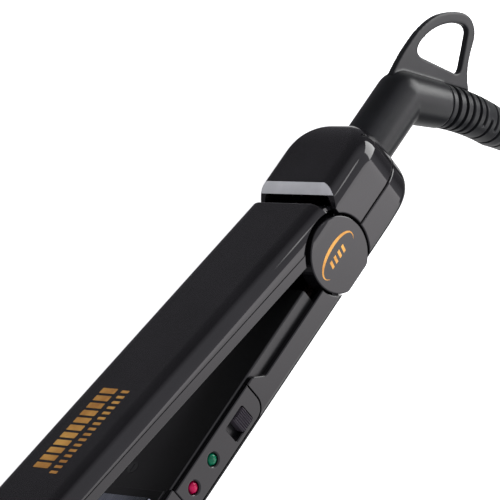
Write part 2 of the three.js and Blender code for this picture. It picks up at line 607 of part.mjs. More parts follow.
function plugBody() {
  const { x, y, z, relief, body } = PLUG;
  const front = x + relief + body;
  const plan = polygon([[x + relief - 1, y - 5], [x + relief + 5, y - 8.5], [x + relief + 15, y - 16],
    [front, y - 17.6], [front, y + 17.6], [x + relief + 15, y + 16], [x + relief + 5, y + 8.5],
    [x + relief - 1, y + 5]]);
  const section = rounded(y - 18, 0.25, y + 18, 13.95, 4);
  const grip = alongZ(plan, 0, 20).intersect(alongX(section, x, front + 1, 4));
  const profile = [[0, 0], [4.4, 0], [5.4, relief], [0, relief]].map(([r, h]) => new THREE.Vector2(r, h));
  const sleeve = new THREE.LatheGeometry(profile, 16);
  sleeve.applyMatrix4(new THREE.Matrix4().makeRotationZ(-Math.PI / 2));
  sleeve.translate(x, y, z);
  return join(grip, solid(sleeve));
}

function plugPin(sign) {
  const start = PLUG.x + PLUG.relief + PLUG.body + GAP;
  return rod('x', PLUG.pinR, start, start + PLUG.pin, PLUG.y + sign * PLUG.spread, PLUG.z, 14);
}

// ---- wires held inside the fixed arm ------------------------------------------------
const feedWire = (shift) => tube(smooth([[-26, -2, MID + shift * 1.4], [-24, 5, 25 + shift],
  [-12, 8.2, 26 + shift], [12, 8.2, 26 + shift], [36, 7, 27 + shift], [56, 5.5, 28.6 + shift],
  [64.1, 5.5 - shift, 30]]), 0.8, 6, 16);
const heaterWire = (shift) => tube(smooth([[112.4, 5 + shift, 30], [118, 5.4, 28 - shift],
  [128, 4.6, 22 - shift], [133, 3.6, 20 - shift], [134, 1.7, 20 - shift]]), 0.8, 6, 12);

// ---- assembly -------------------------------------------------------------------------
const model = new THREE.Group();
const fixedArm = new THREE.Group();
const movingArm = new THREE.Group();
movingArm.rotation.z = -OPEN_ANGLE;
model.add(fixedArm, movingArm);

const FINISH = {
  gloss: { color: 0x131216, roughness: 0.12, metalness: 0 },
  satin: { color: 0x1d1e20, roughness: 0.45, metalness: 0 },
  inner: { color: 0x101012, roughness: 0.35, metalness: 0 },
  titanium: { color: 0x8b93a6, roughness: 0.25, metalness: 1 },
  ceramic: { color: 0xd9d4c8, roughness: 0.7, metalness: 0 },
  steel: { color: 0xb8bbc0, roughness: 0.3, metalness: 1 },
  brass: { color: 0xc49a45, roughness: 0.3, metalness: 1 },
  board: { color: 0x1f5d37, roughness: 0.5, metalness: 0 },
  silicone: { color: 0xa8483a, roughness: 0.8, metalness: 0 },
  green: { color: 0x12a06a, roughness: 0.1, metalness: 0 },
  red: { color: 0xc8106e, roughness: 0.1, metalness: 0 },
};

function part(group, name, body, finish) {
  const mesh = new THREE.Mesh(toGeometry(body), new THREE.MeshStandardMaterial(FINISH[finish]));
  mesh.name = name;
  group.add(mesh);
}

part(fixedArm, 'fixed_arm_shell', fixedArmShell(), 'gloss');
part(fixedArm, 'rear_cover', rearCover(), 'gloss');
part(fixedArm, 'fixed_inner_panel', fixedInnerPanel(), 'inner');
part(fixedArm, 'control_panel', controlPanel(), 'gloss');
part(fixedArm, 'switch_well', switchWell(), 'inner');
part(fixedArm, 'switch_body', switchBody(), 'satin');
part(fixedArm, 'switch_slider', switchSlider(), 'satin');
part(fixedArm, 'lamp_green', lamp(LAMP.greenX), 'green');
part(fixedArm, 'lamp_red', lamp(LAMP.redX), 'red');
part(fixedArm, 'circuit_board', circuitBoard(), 'board');
part(fixedArm, 'power_module', powerModule(), 'satin');
part(fixedArm, 'thermal_fuse', thermalFuse(), 'steel');
COVER_SCREWS.forEach(([x, z], i) => {
  part(fixedArm, `cover_screw_${i + 1}`, screw(x, z, 11.9, -1, 17), 'steel');
});
PANEL_SCREWS.forEach(([x, z], i) => {
  part(fixedArm, `fixed_panel_screw_${i + 1}`, screw(x, z, -2.9, 1, 9), 'steel');
});

[-1.3, 1.3].forEach((shift, i) => part(fixedArm, `feed_wire_${i + 1}`, feedWire(shift), 'silicone'));
[-1.2, 1.2].forEach((shift, i) => part(fixedArm, `heater_wire_${i + 1}`, heaterWire(shift), 'silicone'));

part(fixedArm, 'hinge_pin', hingePin(), 'steel');
part(fixedArm, 'hinge_cap_top', hingeCap(true), 'gloss');
part(fixedArm, 'hinge_cap_bottom', hingeCap(false), 'gloss');
part(fixedArm, 'opening_spring', openingSpring(), 'steel');

const HEATERS = [
  { group: fixedArm, side: 1, face: PLATE.fixedY, backing: HOUSING.outerY - WALL, name: 'fixed' },
  { group: movingArm, side: -1, face: PLATE.movingY, backing: ARM.outerY + 2, name: 'moving' },
];
for (const { group, side, face, backing, name } of HEATERS) {
  part(group, `${name}_plate_carrier`, plateCarrier(side, face), 'inner');
  part(group, `${name}_heater_plate`, heaterPlate(side, face), 'titanium');
  part(group, `${name}_heater_element`, heaterElement(side, face), 'ceramic');
  [142, 198].forEach((x, i) => {
    part(group, `${name}_plate_cushion_${i + 1}`, plateCushion(side, face, backing, x), 'silicone');
  });
}

part(movingArm, 'moving_arm_shell', movingArmShell(), 'gloss');
part(movingArm, 'moving_arm_trim', movingArmTrim(), 'gloss');
part(movingArm, 'moving_inner_panel', movingInnerPanel(), 'inner');
part(movingArm, 'moving_yoke', movingYoke(), 'satin');
YOKE_SCREW_Z.forEach((z, i) => part(movingArm, `yoke_screw_${i + 1}`, screw(24, z, -9.6, -1, 6.4), 'steel'));
MOVING_SCREWS.forEach(([x, z], i) => {
  part(movingArm, `moving_panel_screw_${i + 1}`, screw(x, z, -7.2, -1, 5), 'steel');
});

part(model, 'swivel_elbow', swivelElbow(), 'satin');
part(model, 'swivel_bush', swivelBush(), 'satin');
part(model, 'slip_ring', slipRing(), 'brass');
part(model, 'brush_block', brushBlock(), 'satin');
part(model, 'cord_boot', cordBoot(), 'satin');
part(model, 'cord_lead', cordLead(), 'satin');
part(model, 'cord_coil', cordCoil(), 'satin');
part(model, 'cord_tail', cordTail(), 'satin');
part(model, 'coil_tie', coilTie(), 'satin');
part(model, 'plug_body', plugBody(), 'satin');
[1, -1].forEach((sign, i) => part(model, `plug_pin_${i + 1}`, plugPin(sign), 'steel'));

export default model;
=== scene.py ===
# Hair straightener on its side, arms open. Shapes are drawn in millimetres and scaled to metres.
# The hinge axis is the Z axis. +X points to the arm tips, -Y to the moving arm's outer face.
import json
import math

import bmesh
import bpy
from mathutils import Matrix, Vector


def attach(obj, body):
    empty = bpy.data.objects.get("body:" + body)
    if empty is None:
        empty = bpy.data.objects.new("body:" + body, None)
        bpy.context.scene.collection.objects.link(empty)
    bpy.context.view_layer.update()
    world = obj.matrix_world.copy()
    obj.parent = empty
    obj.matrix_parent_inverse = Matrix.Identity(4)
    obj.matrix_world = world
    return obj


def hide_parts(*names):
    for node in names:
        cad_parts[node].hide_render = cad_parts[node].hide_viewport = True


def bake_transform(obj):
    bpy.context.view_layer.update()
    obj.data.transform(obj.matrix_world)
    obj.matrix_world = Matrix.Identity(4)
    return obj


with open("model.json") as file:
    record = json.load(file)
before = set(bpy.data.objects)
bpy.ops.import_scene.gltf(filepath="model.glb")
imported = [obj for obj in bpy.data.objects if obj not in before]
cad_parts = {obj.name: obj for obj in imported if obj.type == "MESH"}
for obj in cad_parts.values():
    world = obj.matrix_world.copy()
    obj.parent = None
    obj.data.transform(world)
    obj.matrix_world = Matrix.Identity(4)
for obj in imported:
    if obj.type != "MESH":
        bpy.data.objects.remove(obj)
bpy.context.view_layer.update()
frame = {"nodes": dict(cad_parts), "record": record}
NODES = frame["nodes"]
MM = 0.001

# ---- driving dimensions, in mm --------------------------------------------------------
WIDTH = 41.0
MID = WIDTH / 2
TIP_X = 228.0
WALL = 2.2
GAP = 0.3
OPEN_ANGLE = math.radians(8.5)
OUTER_Y = 12.6
COVER_Y = -20.0
DOME_X = -33.0
DOME_LENGTH = 19.5
CAP_R, WELL_R, ARM_R = 14.4, 15.1, 16.5
ARM_OUTER_Y, SEAM_Y, ARM_INNER_Y, ARM_REAR_X = -18.5, -10.8, -6.6, -5.2
ARM_LEAN = 0.013
TAPER_FROM, TAPER_TO, TAPER_BY = 118.0, 219.0, 1.5
NECK_Y, NECK_R, BEND_X, TAIL_R, TAIL = -2.9, 9.9, -76.3, 8.9, 20.3
BEND = Vector((-0.563, 0.827, 0)).normalized()
LAMP_Y, LAMP_R, GREEN_X, RED_X = 4.0, 2.5, 94.2, 107.3
SWITCH_X0, SWITCH_X1, SWITCH_Y0, SWITCH_Y1, KNOB, KNOB_RIBS = 71.3, 82.4, 1.2, 8.3, 6.2, 7
S_CURVE_X0, S_CURVE_X1 = 55, 61.5
PLATE_X0, PLATE_X1, PLATE_Z0, PLATE_Z1, PLATE_THICK = 120, 220, 6.5, 34.5, 2.9
FIXED_FACE_Y, MOVING_FACE_Y = -5.15, -5.45
BOOT_PITCH, BOOT_DEPTH = 3.8, 1.3
CORD_R, FLOOR_Z = 3.25, 3.4
COIL_X, COIL_Y, COIL_R, COIL_PITCH, COIL_TOP = -198.5, 44.0, 38.0, 6.7, 16.8
PLUG_X, PLUG_Y, PLUG_Z, PLUG_RELIEF = -201.5, -28.0, 7.1, 16.0
TAIL_TURN = 32.0
LEAD_ROUTE = ((-116, 68, 5.7), (-118.9, 73.3, 4.6), (-122.6, 78.1, 3.9), (-127, 82.2, 3.5),
              (-132.1, 85.5, 3.4), (-137.6, 87.9, 3.4), (-143.5, 89.4, 3.4), (-149.5, 89.9, 3.4))
OPEN = Matrix.Rotation(-OPEN_ANGLE, 4, "Z")


# ---- camera ---------------------------------------------------------------------------
def make_camera():
    data = bpy.data.cameras.new("camera")
    data.sensor_width = 36
    data.lens = 295.64
    data.clip_start = 0.05
    data.clip_end = 20
    camera = bpy.data.objects.new("camera", data)
    bpy.context.scene.collection.objects.link(camera)
    right = Vector((-0.51062, 0.54267, 0.66692)).normalized()
    back = Vector((0.42751, -0.51274, 0.74453)).normalized()
    up = back.cross(right)
    place = Matrix((right, up, back)).transposed().to_4x4()
    place.translation = (0.65728, -0.78881, 1.13679)
    camera.matrix_world = place
    bpy.context.scene.camera = camera


make_camera()


# ---- mesh helpers ---------------------------------------------------------------------
def to_object(name, verts, faces):
    """A mesh object from points in mm, with its faces turned outwards."""
    mesh = bpy.data.meshes.new(name)
    mesh.from_pydata([Vector(v) * MM for v in verts], [], faces)
    obj = bpy.data.objects.new(name, mesh)
    bpy.context.scene.collection.objects.link(obj)
    edit(obj, lambda bm: bmesh.ops.recalc_face_normals(bm, faces=bm.faces))
    return obj


def edit(obj, change):
    bm = bmesh.new()
    bm.from_mesh(obj.data)
    change(bm)
    bm.to_mesh(obj.data)
    bm.free()


def bake_modifiers(obj):
    graph = bpy.context.evaluated_depsgraph_get()
    mesh = bpy.data.meshes.new_from_object(obj.evaluated_get(graph))
    obj.modifiers.clear()
    obj.data = mesh


def combine(obj, tools, operation):
    for tool in tools:
        modifier = obj.modifiers.new("cut", "BOOLEAN")
        modifier.solver = "EXACT"
        modifier.operation = operation
        modifier.object = tool
        bake_modifiers(obj)
        bpy.data.objects.remove(tool)
    return obj


def cut(obj, *tools):
    return combine(obj, tools, "DIFFERENCE")


def join(obj, *tools):
    return combine(obj, tools, "UNION")


def common(obj, *tools):
    return combine(obj, tools, "INTERSECT")


def bevel(obj, width, segments=3, angle=40):
    modifier = obj.modifiers.new("bevel", "BEVEL")
    modifier.width = width * MM
    modifier.segments = segments
    modifier.limit_method = "ANGLE"
    modifier.angle_limit = math.radians(angle)
    modifier.use_clamp_overlap = True
    bake_modifiers(obj)
    return obj


def soften(obj, width, where, segments=3, angle=35):
    """Rounds the sharp edges whose middle, in mm, where() picks."""
    def change(bm):
        bmesh.ops.remove_doubles(bm, verts=bm.verts, dist=0.01 * MM)
        picked = []
        for edge in bm.edges:
            if len(edge.link_faces) != 2 or edge.calc_face_angle() < math.radians(angle):
                continue
            middle = (edge.verts[0].co + edge.verts[1].co) / (2 * MM)
            if where(middle):
                picked.append(edge)
        bmesh.ops.bevel(bm, geom=picked, offset=width * MM, segments=segments, affect="EDGES",
                        profile=0.5, clamp_overlap=True)
    edit(obj, change)
    return obj


def loft(name, rings, closed_ends=True):
    count = len(rings[0])
    verts = [point for ring in rings for point in ring]
    faces = []
    for i in range(len(rings) - 1):
        for j in range(count):
            k = (j + 1) % count
            faces.append((i * count + j, i * count + k, (i + 1) * count + k, (i + 1) * count + j))
    if closed_ends:
        faces.append(tuple(range(count)))
        faces.append(tuple((len(rings) - 1) * count + j for j in range(count)))
    return to_object(name, verts, faces)


def rounded(y0, y1, z0, z1, radii, steps=8):
    """Corner radii in the order (y0,z0), (y1,z0), (y1,z1), (y0,z1); each side has room for its two."""
    r = [max(value, 0.01) for value in radii]
    sides = [(0, 1, y1 - y0), (1, 2, z1 - z0), (2, 3, y1 - y0), (3, 0, z1 - z0)]
    for a, b, length in sides:
        spare = r[a] + r[b] - length * 0.999
        if spare > 0:
            share = r[a] / (r[a] + r[b])
            r[a] -= spare * share
            r[b] -= spare * (1 - share)
    corners = [(y0 + r[0], z0 + r[0], r[0], 180), (y1 - r[1], z0 + r[1], r[1], 270),
               (y1 - r[2], z1 - r[2], r[2], 0), (y0 + r[3], z1 - r[3], r[3], 90)]
    points = []
    for y, z, radius, start in corners:
        for i in range(steps + 1):
            angle = math.radians(start + 90 * i / steps)
            points.append((y + radius * math.cos(angle), z + radius * math.sin(angle)))
    return points


PLACE = {
    "x": lambda u, v, h: (h, u, v),
    "y": lambda u, v, h: (u, h, v),
    "z": lambda u, v, h: (u, v, h),
}


def along_x(name, stations, section):
    return loft(name, [[(x, y, z) for y, z in section(x)] for x in stations])


def prism(name, outline, low, high, axis="z"):
    """A flat outline carried along an axis; the outline's own axes are the other two, in order."""
    place = PLACE[axis]
    return loft(name, [[place(u, v, h) for u, v in outline] for h in (low, high)])


def block(name, x0, x1, y0, y1, z0, z1):
    return prism(name, [(x0, y0), (x1, y0), (x1, y1), (x0, y1)], z0, z1)


def lathe(name, profile, centre=(0, 0, 0), axis="z", steps=96):
    """Turns (radius, height) points about an axis; a radius of 0 at either end closes on the axis."""
    place = PLACE[axis]
    rings = []
    for radius, height in profile:
        ring = []
        for i in range(steps):
            angle = 2 * math.pi * i / steps
            point = place(radius * math.cos(angle), radius * math.sin(angle), height)
            ring.append(tuple(p + c for p, c in zip(point, centre)))
        rings.append(ring)
    obj = loft(name, rings)
    edit(obj, lambda bm: bmesh.ops.remove_doubles(bm, verts=bm.verts, dist=0.002 * MM))
    return obj


def mirrored(profile):
    """The same (radius, height) profile seen from the other side of the body."""
    return [(r, WIDTH - z) for r, z in reversed(profile)]


def rod(name, radius, low, high, u, v, axis="z", steps=64):
    centre = {"x": (0, u, v), "y": (u, 0, v), "z": (u, v, 0)}[axis]
    return lathe(name, [(0, low), (radius, low), (radius, high), (0, high)], centre, axis, steps)


def fillet(u, v, radius, start, end, steps=6):
    """Points on an arc round (u, v), angles in degrees."""
    points = []
    for i in range(steps + 1):
        angle = math.radians(start + (end - start) * i / steps)
        points.append((u + radius * math.cos(angle), v + radius * math.sin(angle)))
    return points


def arc(radius, degrees):
    """Points on a circle round the origin, at each of the given angles."""
    return [(radius * math.cos(math.radians(a)), radius * math.sin(math.radians(a))) for a in degrees]


def bezier(p0, p1, p2, p3, steps=24):
    points = []
    for i in range(steps + 1):
        t = i / steps
        a, b, c, d = (1 - t) ** 3, 3 * t * (1 - t) ** 2, 3 * t * t * (1 - t), t ** 3
        points.append(tuple(a * w + b * x + c * y + d * z for w, x, y, z in zip(p0, p1, p2, p3)))
    return points


def trace(start, *curves):
    """An outline from start through cubic curves, each given as two handles, its end and its steps."""
    points = [start]
    for first, second, end, steps in curves:
        points += bezier(points[-1], first, second, end, steps)[1:]
    return points


def smoothstep(value):
    t = min(max(value, 0.0), 1.0)
    return t * t * (3 - 2 * t)


def finish_mesh(obj, angle=32):
    obj.data.shade_smooth()
    obj.data.set_sharp_from_angle(angle=math.radians(angle))
    modifier = obj.modifiers.new("weights", "WEIGHTED_NORMAL")
    modifier.keep_sharp = True
    bake_modifiers(obj)
    return obj


def piece(obj, name, slot, body, *nodes, finish=None, opened=False, angle=32):
    """Gives a mesh its name, its slot's material or another finish, and its place in the assembly."""
    if opened:
        obj.data.transform(OPEN)
    finish_mesh(obj, angle)
    obj.name = name
    obj.data.name = name
    obj.data.materials.clear()
    obj.data.materials.append(MATERIALS[finish or slot])
    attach(obj, body)
    if nodes:
        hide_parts(*nodes)
    return obj


# ---- materials ------------------------------------------------------------------------
class Nodes:
    """A material's node tree, with short calls for the nodes that these finishes share."""

    def __init__(self, name):
        self.material = bpy.data.materials.new(name)
        self.material.use_nodes = True
        self.tree = self.material.node_tree
        self.shader = self.tree.nodes["Principled BSDF"]
        self.position = self.add("ShaderNodeTexCoord").outputs["Object"]

    def add(self, kind, **values):
        node = self.tree.nodes.new(kind)
        for key, value in values.items():
            setattr(node, key, value)
        return node

    def link(self, output, socket):
        self.tree.links.new(output, socket)

    def stretched(self, scale):
        mapping = self.add("ShaderNodeMapping")
        mapping.inputs["Scale"].default_value = scale
        self.link(self.position, mapping.inputs["Vector"])
        return mapping.outputs["Vector"]

    def noise(self, scale, detail=2.0, roughness=0.5, vector=None):
        node = self.add("ShaderNodeTexNoise")
        node.inputs["Scale"].default_value = scale
        node.inputs["Detail"].default_value = detail
        node.inputs["Roughness"].default_value = roughness
        self.link(vector or self.position, node.inputs["Vector"])
        return node.outputs["Fac"]

    def ranged(self, value, low, high, source=(0.3, 0.7)):
        node = self.add("ShaderNodeMapRange")
        node.inputs["From Min"].default_value = source[0]
        node.inputs["From Max"].default_value = source[1]
        node.inputs["To Min"].default_value = low
        node.inputs["To Max"].default_value = high
        self.link(value, node.inputs["Value"])
        return node.outputs["Result"]

    def ramp(self, value, *stops):
        node = self.add("ShaderNodeValToRGB")
        elements = node.color_ramp.elements
        while len(elements) < len(stops):
            elements.new(0.5)
        for element, (place, colour) in zip(elements, stops):
            element.position = place
            element.color = (*colour, 1)
        self.link(value, node.inputs["Fac"])
        return node.outputs["Color"]

    def bump(self, height, strength, distance):
        node = self.add("ShaderNodeBump")
        node.inputs["Strength"].default_value = strength
        node.inputs["Distance"].default_value = distance * MM
        self.link(height, node.inputs["Height"])
        self.link(node.outputs["Normal"], self.shader.inputs["Normal"])

    def sockets(self, **values):
        for key, value in values.items():
            self.shader.inputs[key.replace("_", " ").title().replace("Ior", "IOR")].default_value = value


def moulded(name, dark, light, roughness, grain, depth, patch=55.0, ior=1.5):
    """Moulded plastic: slow tone changes, uneven polish and a fine grain of the given size in mm."""
    n = Nodes(name)
    n.link(n.ramp(n.noise(patch, 4, 0.6), (0.3, dark), (0.7, light)), n.shader.inputs["Base Color"])
    n.link(n.ranged(n.noise(patch * 2.3, 5, 0.65), *roughness), n.shader.inputs["Roughness"])
    n.bump(n.noise(1000 / grain, 3, 0.6), 0.5, depth)
    n.sockets(ior=ior)
    return n.material


def gloss_black():
    n = Nodes("gloss_black")
    n.link(n.ramp(n.noise(40, 3), (0.3, (0.0050, 0.0048, 0.0056)), (0.7, (0.0080, 0.0076, 0.0088))),
           n.shader.inputs["Base Color"])
    n.link(n.ranged(n.noise(160, 6, 0.7), 0.045, 0.085), n.shader.inputs["Roughness"])
    n.bump(n.noise(420, 2), 0.25, 0.004)
    n.sockets(ior=1.5)
    return n.material


def brushed(name, dark, light, roughness, across, depth=0.006):
    """Metal rubbed along X: fine streaks that are long one way and narrow the other."""
    n = Nodes(name)
    streaks = n.noise(1, 3, 0.7, n.stretched((60, across, across)))
    n.link(n.ramp(n.noise(1, 3, 0.6, n.stretched((25, 260, 260))), (0.3, dark), (0.7, light)),
           n.shader.inputs["Base Color"])
    n.link(n.ranged(streaks, *roughness), n.shader.inputs["Roughness"])
    n.bump(streaks, 0.4, depth)
    n.sockets(metallic=1.0)
    return n.material


def lens(name, deep, bright):
    """Tinted moulded lens: tone that changes at random between a deep and a bright tint, very smooth."""
    n = Nodes(name)
    n.link(n.ramp(n.noise(320, 2), (0.35, deep), (0.65, bright)), n.shader.inputs["Base Color"])
    n.link(n.ranged(n.noise(700, 3), 0.04, 0.1), n.shader.inputs["Roughness"])
    n.bump(n.noise(900, 2), 0.2, 0.004)
    n.sockets(ior=1.33)
    return n.material


def gold_foil():
    n = Nodes("gold_foil")
    n.link(n.ramp(n.noise(90, 4, 0.6), (0.3, (0.46, 0.19, 0.035)), (0.7, (0.8, 0.44, 0.1))),
           n.shader.inputs["Base Color"])
    n.link(n.ranged(n.noise(1500, 4, 0.7), 0.28, 0.5), n.shader.inputs["Roughness"])
    n.bump(n.noise(2600, 2), 0.35, 0.004)
    n.sockets(metallic=0.55)
    return n.material


def circuit():
    n = Nodes("board_green")
    cells = n.add("ShaderNodeTexVoronoi", feature="DISTANCE_TO_EDGE")
    cells.inputs["Scale"].default_value = 330
    n.link(n.position, cells.inputs["Vector"])
    n.link(n.ramp(cells.outputs["Distance"], (0.02, (0.16, 0.2, 0.06)), (0.09, (0.012, 0.085, 0.035))),
           n.shader.inputs["Base Color"])
    n.link(n.ranged(n.noise(500, 3), 0.3, 0.5), n.shader.inputs["Roughness"])
    return n.material


def grey(value):
    return (value * 0.98, value, value * 1.04)


def cool(value):
    return (value * 0.85, value, value * 1.2)


def make_materials():
    return {
        "body_gloss": gloss_black(),
        "inner_black": moulded("inner_black", grey(0.008), grey(0.010), (0.28, 0.34), 0.5, 0.002),
        "screw_black": moulded("screw_black", grey(0.02), grey(0.03), (0.3, 0.4), 0.3, 0.004),
        "satin_black": moulded("satin_black", cool(0.003), cool(0.006), (0.30, 0.38), 0.45, 0.05, ior=1.42),
        "knob_grey": moulded("knob_grey", (0.052, 0.045, 0.055), (0.075, 0.066, 0.08), (0.34, 0.44),
                             0.3, 0.012),
        "boot_rubber": moulded("boot_rubber", cool(0.004), cool(0.007), (0.36, 0.46), 0.3, 0.02, ior=1.42),
        "cord_pvc": moulded("cord_pvc", grey(0.010), grey(0.016), (0.38, 0.5), 0.45, 0.012),
        "plate_titanium": brushed("plate_titanium", (0.36, 0.39, 0.45), (0.5, 0.53, 0.6), (0.2, 0.32), 2600),
        "heater_ceramic": moulded("heater_ceramic", (0.62, 0.6, 0.54), (0.74, 0.72, 0.66), (0.6, 0.75),
                                  0.3, 0.02),
        "cushion_silicone": moulded("cushion_silicone", (0.3, 0.06, 0.04), (0.38, 0.09, 0.06), (0.6, 0.7),
                                    0.6, 0.02),
        "spring_steel": brushed("spring_steel", (0.42, 0.42, 0.43), (0.6, 0.6, 0.61), (0.25, 0.4), 1800),
        "pin_nickel": brushed("pin_nickel", (0.62, 0.61, 0.58), (0.76, 0.75, 0.72), (0.14, 0.26),
                              2200, 0.003),
        "contact_brass": brushed("contact_brass", (0.55, 0.38, 0.14), (0.72, 0.53, 0.22), (0.22, 0.36), 1600),
        "board_green": circuit(),
        "lamp_green_lens": lens("lamp_green_lens", (0.0, 0.06, 0.03), (0.0, 0.26, 0.12)),
        "lamp_red_lens": lens("lamp_red_lens", (0.3, 0.0, 0.03), (0.62, 0.0, 0.09)),
        "wire_red": moulded("wire_red", (0.022, 0.006, 0.005), (0.034, 0.009, 0.008), (0.5, 0.6), 0.5, 0.01),
        "gold": gold_foil(),
        # the cover lip's light grey finish is a painted highlight, standing in for a reflection on the glossy
        # cover's front slope
        "lip_painted_highlight": moulded("lip_painted_highlight", grey(0.34), grey(0.46), (0.25, 0.36), 0.6, 0.004, 70.0),
    }


MATERIALS = make_materials()


def dress_cad_nodes():
    """Every CAD node that still shows gets its slot's finish."""
    for row in frame["record"]["subparts"]:
        node = NODES[row["node"]]
        node.data.materials.clear()
        finish = "screw_black" if "panel_screw" in row["node"] else row["material_slot"]
        node.data.materials.append(MATERIALS[finish])
        node.data.shade_smooth()
        node.data.set_sharp_from_angle(angle=math.radians(32))


# ---- boot and cord centre lines -------------------------------------------------------
BEND_POINT = Vector((BEND_X, NECK_Y, MID))
TAIL_END = BEND_POINT + BEND * TAIL
BOOT_START = TAIL_END + BEND * GAP
BOOT_CURVE = (BOOT_START, BOOT_START + BEND * 20, Vector((-107.2, 48, 14)), Vector((-114.5, 64.6, 6.6)))
BOOT_TIP = BOOT_CURVE[3]
BOOT_AIM = (BOOT_CURVE[3] - BOOT_CURVE[2]).normalized()


def coil_point(degrees, radius, z):
    angle = math.radians(degrees)
    return Vector((COIL_X + radius * math.cos(angle), COIL_Y + radius * math.sin(angle), z))


def coil_radius(turn, part):
    """Radius and height on turn number turn, part of a turn past its start at the coil's +Y side."""
    columns = [1, 0, -1, -1, 0, 1, 0]
    swing = smoothstep((part - 0.69) / 0.31)
    here = columns[turn]
    there = columns[min(turn + 1, 6)]
    radius = COIL_R + COIL_PITCH * (here + (there - here) * swing)
    layer = turn // 3
    climb = 0.0
    if turn in (2, 5):
        climb = smoothstep((part - 0.5) / 0.26)
    return radius, FLOOR_Z + COIL_PITCH * (layer + climb)


def cord_points():
    points = [BOOT_TIP + BOOT_AIM * 0.4]
    points += [Vector(p) for p in LEAD_ROUTE]
    flat = ((-157, 90.2), (-165, 90.4), (-174.5, 90.4), (-182.5, 90.1), (-190.5, 89.5))
    points += [Vector((x, y, FLOOR_Z)) for x, y in flat]
    for turn in range(6):
        for i in range(24):
            radius, z = coil_radius(turn, i / 24)
            points.append(coil_point(90 + 15 * i, radius, z))
    for i in range(6):
        points.append(coil_point(90 + 15 * i, COIL_R, COIL_TOP))
    side = COIL_X - COIL_R
    points += [Vector((side, 44, COIL_TOP)), Vector((side, 34, COIL_TOP)), Vector((side, 24, COIL_TOP)),
               Vector((side, 14, COIL_TOP - 0.1))]
    for degrees in (0, 15, 30, 45, 60, 75, 90):
        angle = math.radians(180 + degrees)
        drop = smoothstep((degrees + 18) / 108) * (COIL_TOP - PLUG_Z)
        points.append(Vector((side + TAIL_TURN + TAIL_TURN * math.cos(angle),
                              PLUG_Y + TAIL_TURN + TAIL_TURN * math.sin(angle), COIL_TOP - drop)))
    points.append(Vector((PLUG_X + 1.5, PLUG_Y, PLUG_Z)))
    return points


def catmull_rom(points, spacing=1.6):
    """A smooth line through the points, resampled at an even spacing in mm."""
    padded = [points[0] * 2 - points[1]] + points + [points[-1] * 2 - points[-2]]
    dense = []
    for i in range(1, len(padded) - 2):
        p0, p1, p2, p3 = padded[i - 1:i + 3]
        t1 = (p1 - p0).length ** 0.5
        t2 = t1 + (p2 - p1).length ** 0.5
        t3 = t2 + (p3 - p2).length ** 0.5
        for k in range(10):
            t = t1 + (t2 - t1) * k / 10
            a1 = p0 * ((t1 - t) / t1) + p1 * (t / t1)
            a2 = p1 * ((t2 - t) / (t2 - t1)) + p2 * ((t - t1) / (t2 - t1))
            a3 = p2 * ((t3 - t) / (t3 - t2)) + p3 * ((t - t2) / (t3 - t2))
            b1 = a1 * ((t2 - t) / t2) + a2 * (t / t2)
            b2 = a2 * ((t3 - t) / (t3 - t1)) + a3 * ((t - t1) / (t3 - t1))
            dense.append(b1 * ((t2 - t) / (t2 - t1)) + b2 * ((t - t1) / (t2 - t1)))
    dense.append(points[-1])
    return resample(dense, spacing)


def resample(line, spacing):
    total = sum((b - a).length for a, b in zip(line, line[1:]))
    count = max(2, round(total / spacing))
    step = total / count
    result, carried, target = [line[0]], 0.0, step
    for a, b in zip(line, line[1:]):
        length = (b - a).length
        while carried + length >= target - 1e-9 and len(result) < count:
            result.append(a.lerp(b, (target - carried) / length))
            target += step
        carried += length
    result.append(line[-1])
    return result


def frames_along(line):
    """Tangent, side and up at each point of a line, with the side kept level."""
    frames = []
    for i in range(len(line)):
        tangent = (line[min(i + 1, len(line) - 1)] - line[max(i - 1, 0)]).normalized()
        side = Vector((0, 0, 1)).cross(tangent).normalized()
        frames.append((tangent, side, side.cross(tangent) * -1))
    return frames


def sweep(name, line, radius, sides=24):
    """A round tube on a line; radius(i, angle) may shape its surface."""
    rings = []
    for i, (point, (_, side, up)) in enumerate(zip(line, frames_along(line))):
        ring = []
        for j in range(sides):
            angle = 2 * math.pi * j / sides
            r = radius(i, angle)
            ring.append(point + side * (r * math.cos(angle)) + up * (r * math.sin(angle)))
        rings.append(ring)
    return loft(name, rings)


def make_cord():
    line = catmull_rom(cord_points())
    cord = sweep("mains_cord", line, lambda i, angle: CORD_R, 20)
    cord.data.shade_smooth()
    cord.data.materials.append(MATERIALS["cord_pvc"])
    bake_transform(cord)
    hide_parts("cord_lead", "cord_coil", "cord_tail")
    length = sum((b - a).length for a, b in zip(line, line[1:]))
    return cord, [p * MM for p in line], length * MM


# ---- plug, pins and tie ---------------------------------------------------------------
def plug_section(x):
    """Half width and half height of the plug's body, at x from the cord end."""
    grow = smoothstep((x - 13) / 20)
    half = 5.0 + 12.4 * grow
    if x > 44:
        half += 0.2 * smoothstep((x - 44) / 6)
    height = 4.9 + 1.95 * smoothstep((x - 10) / 16)
    return half, height


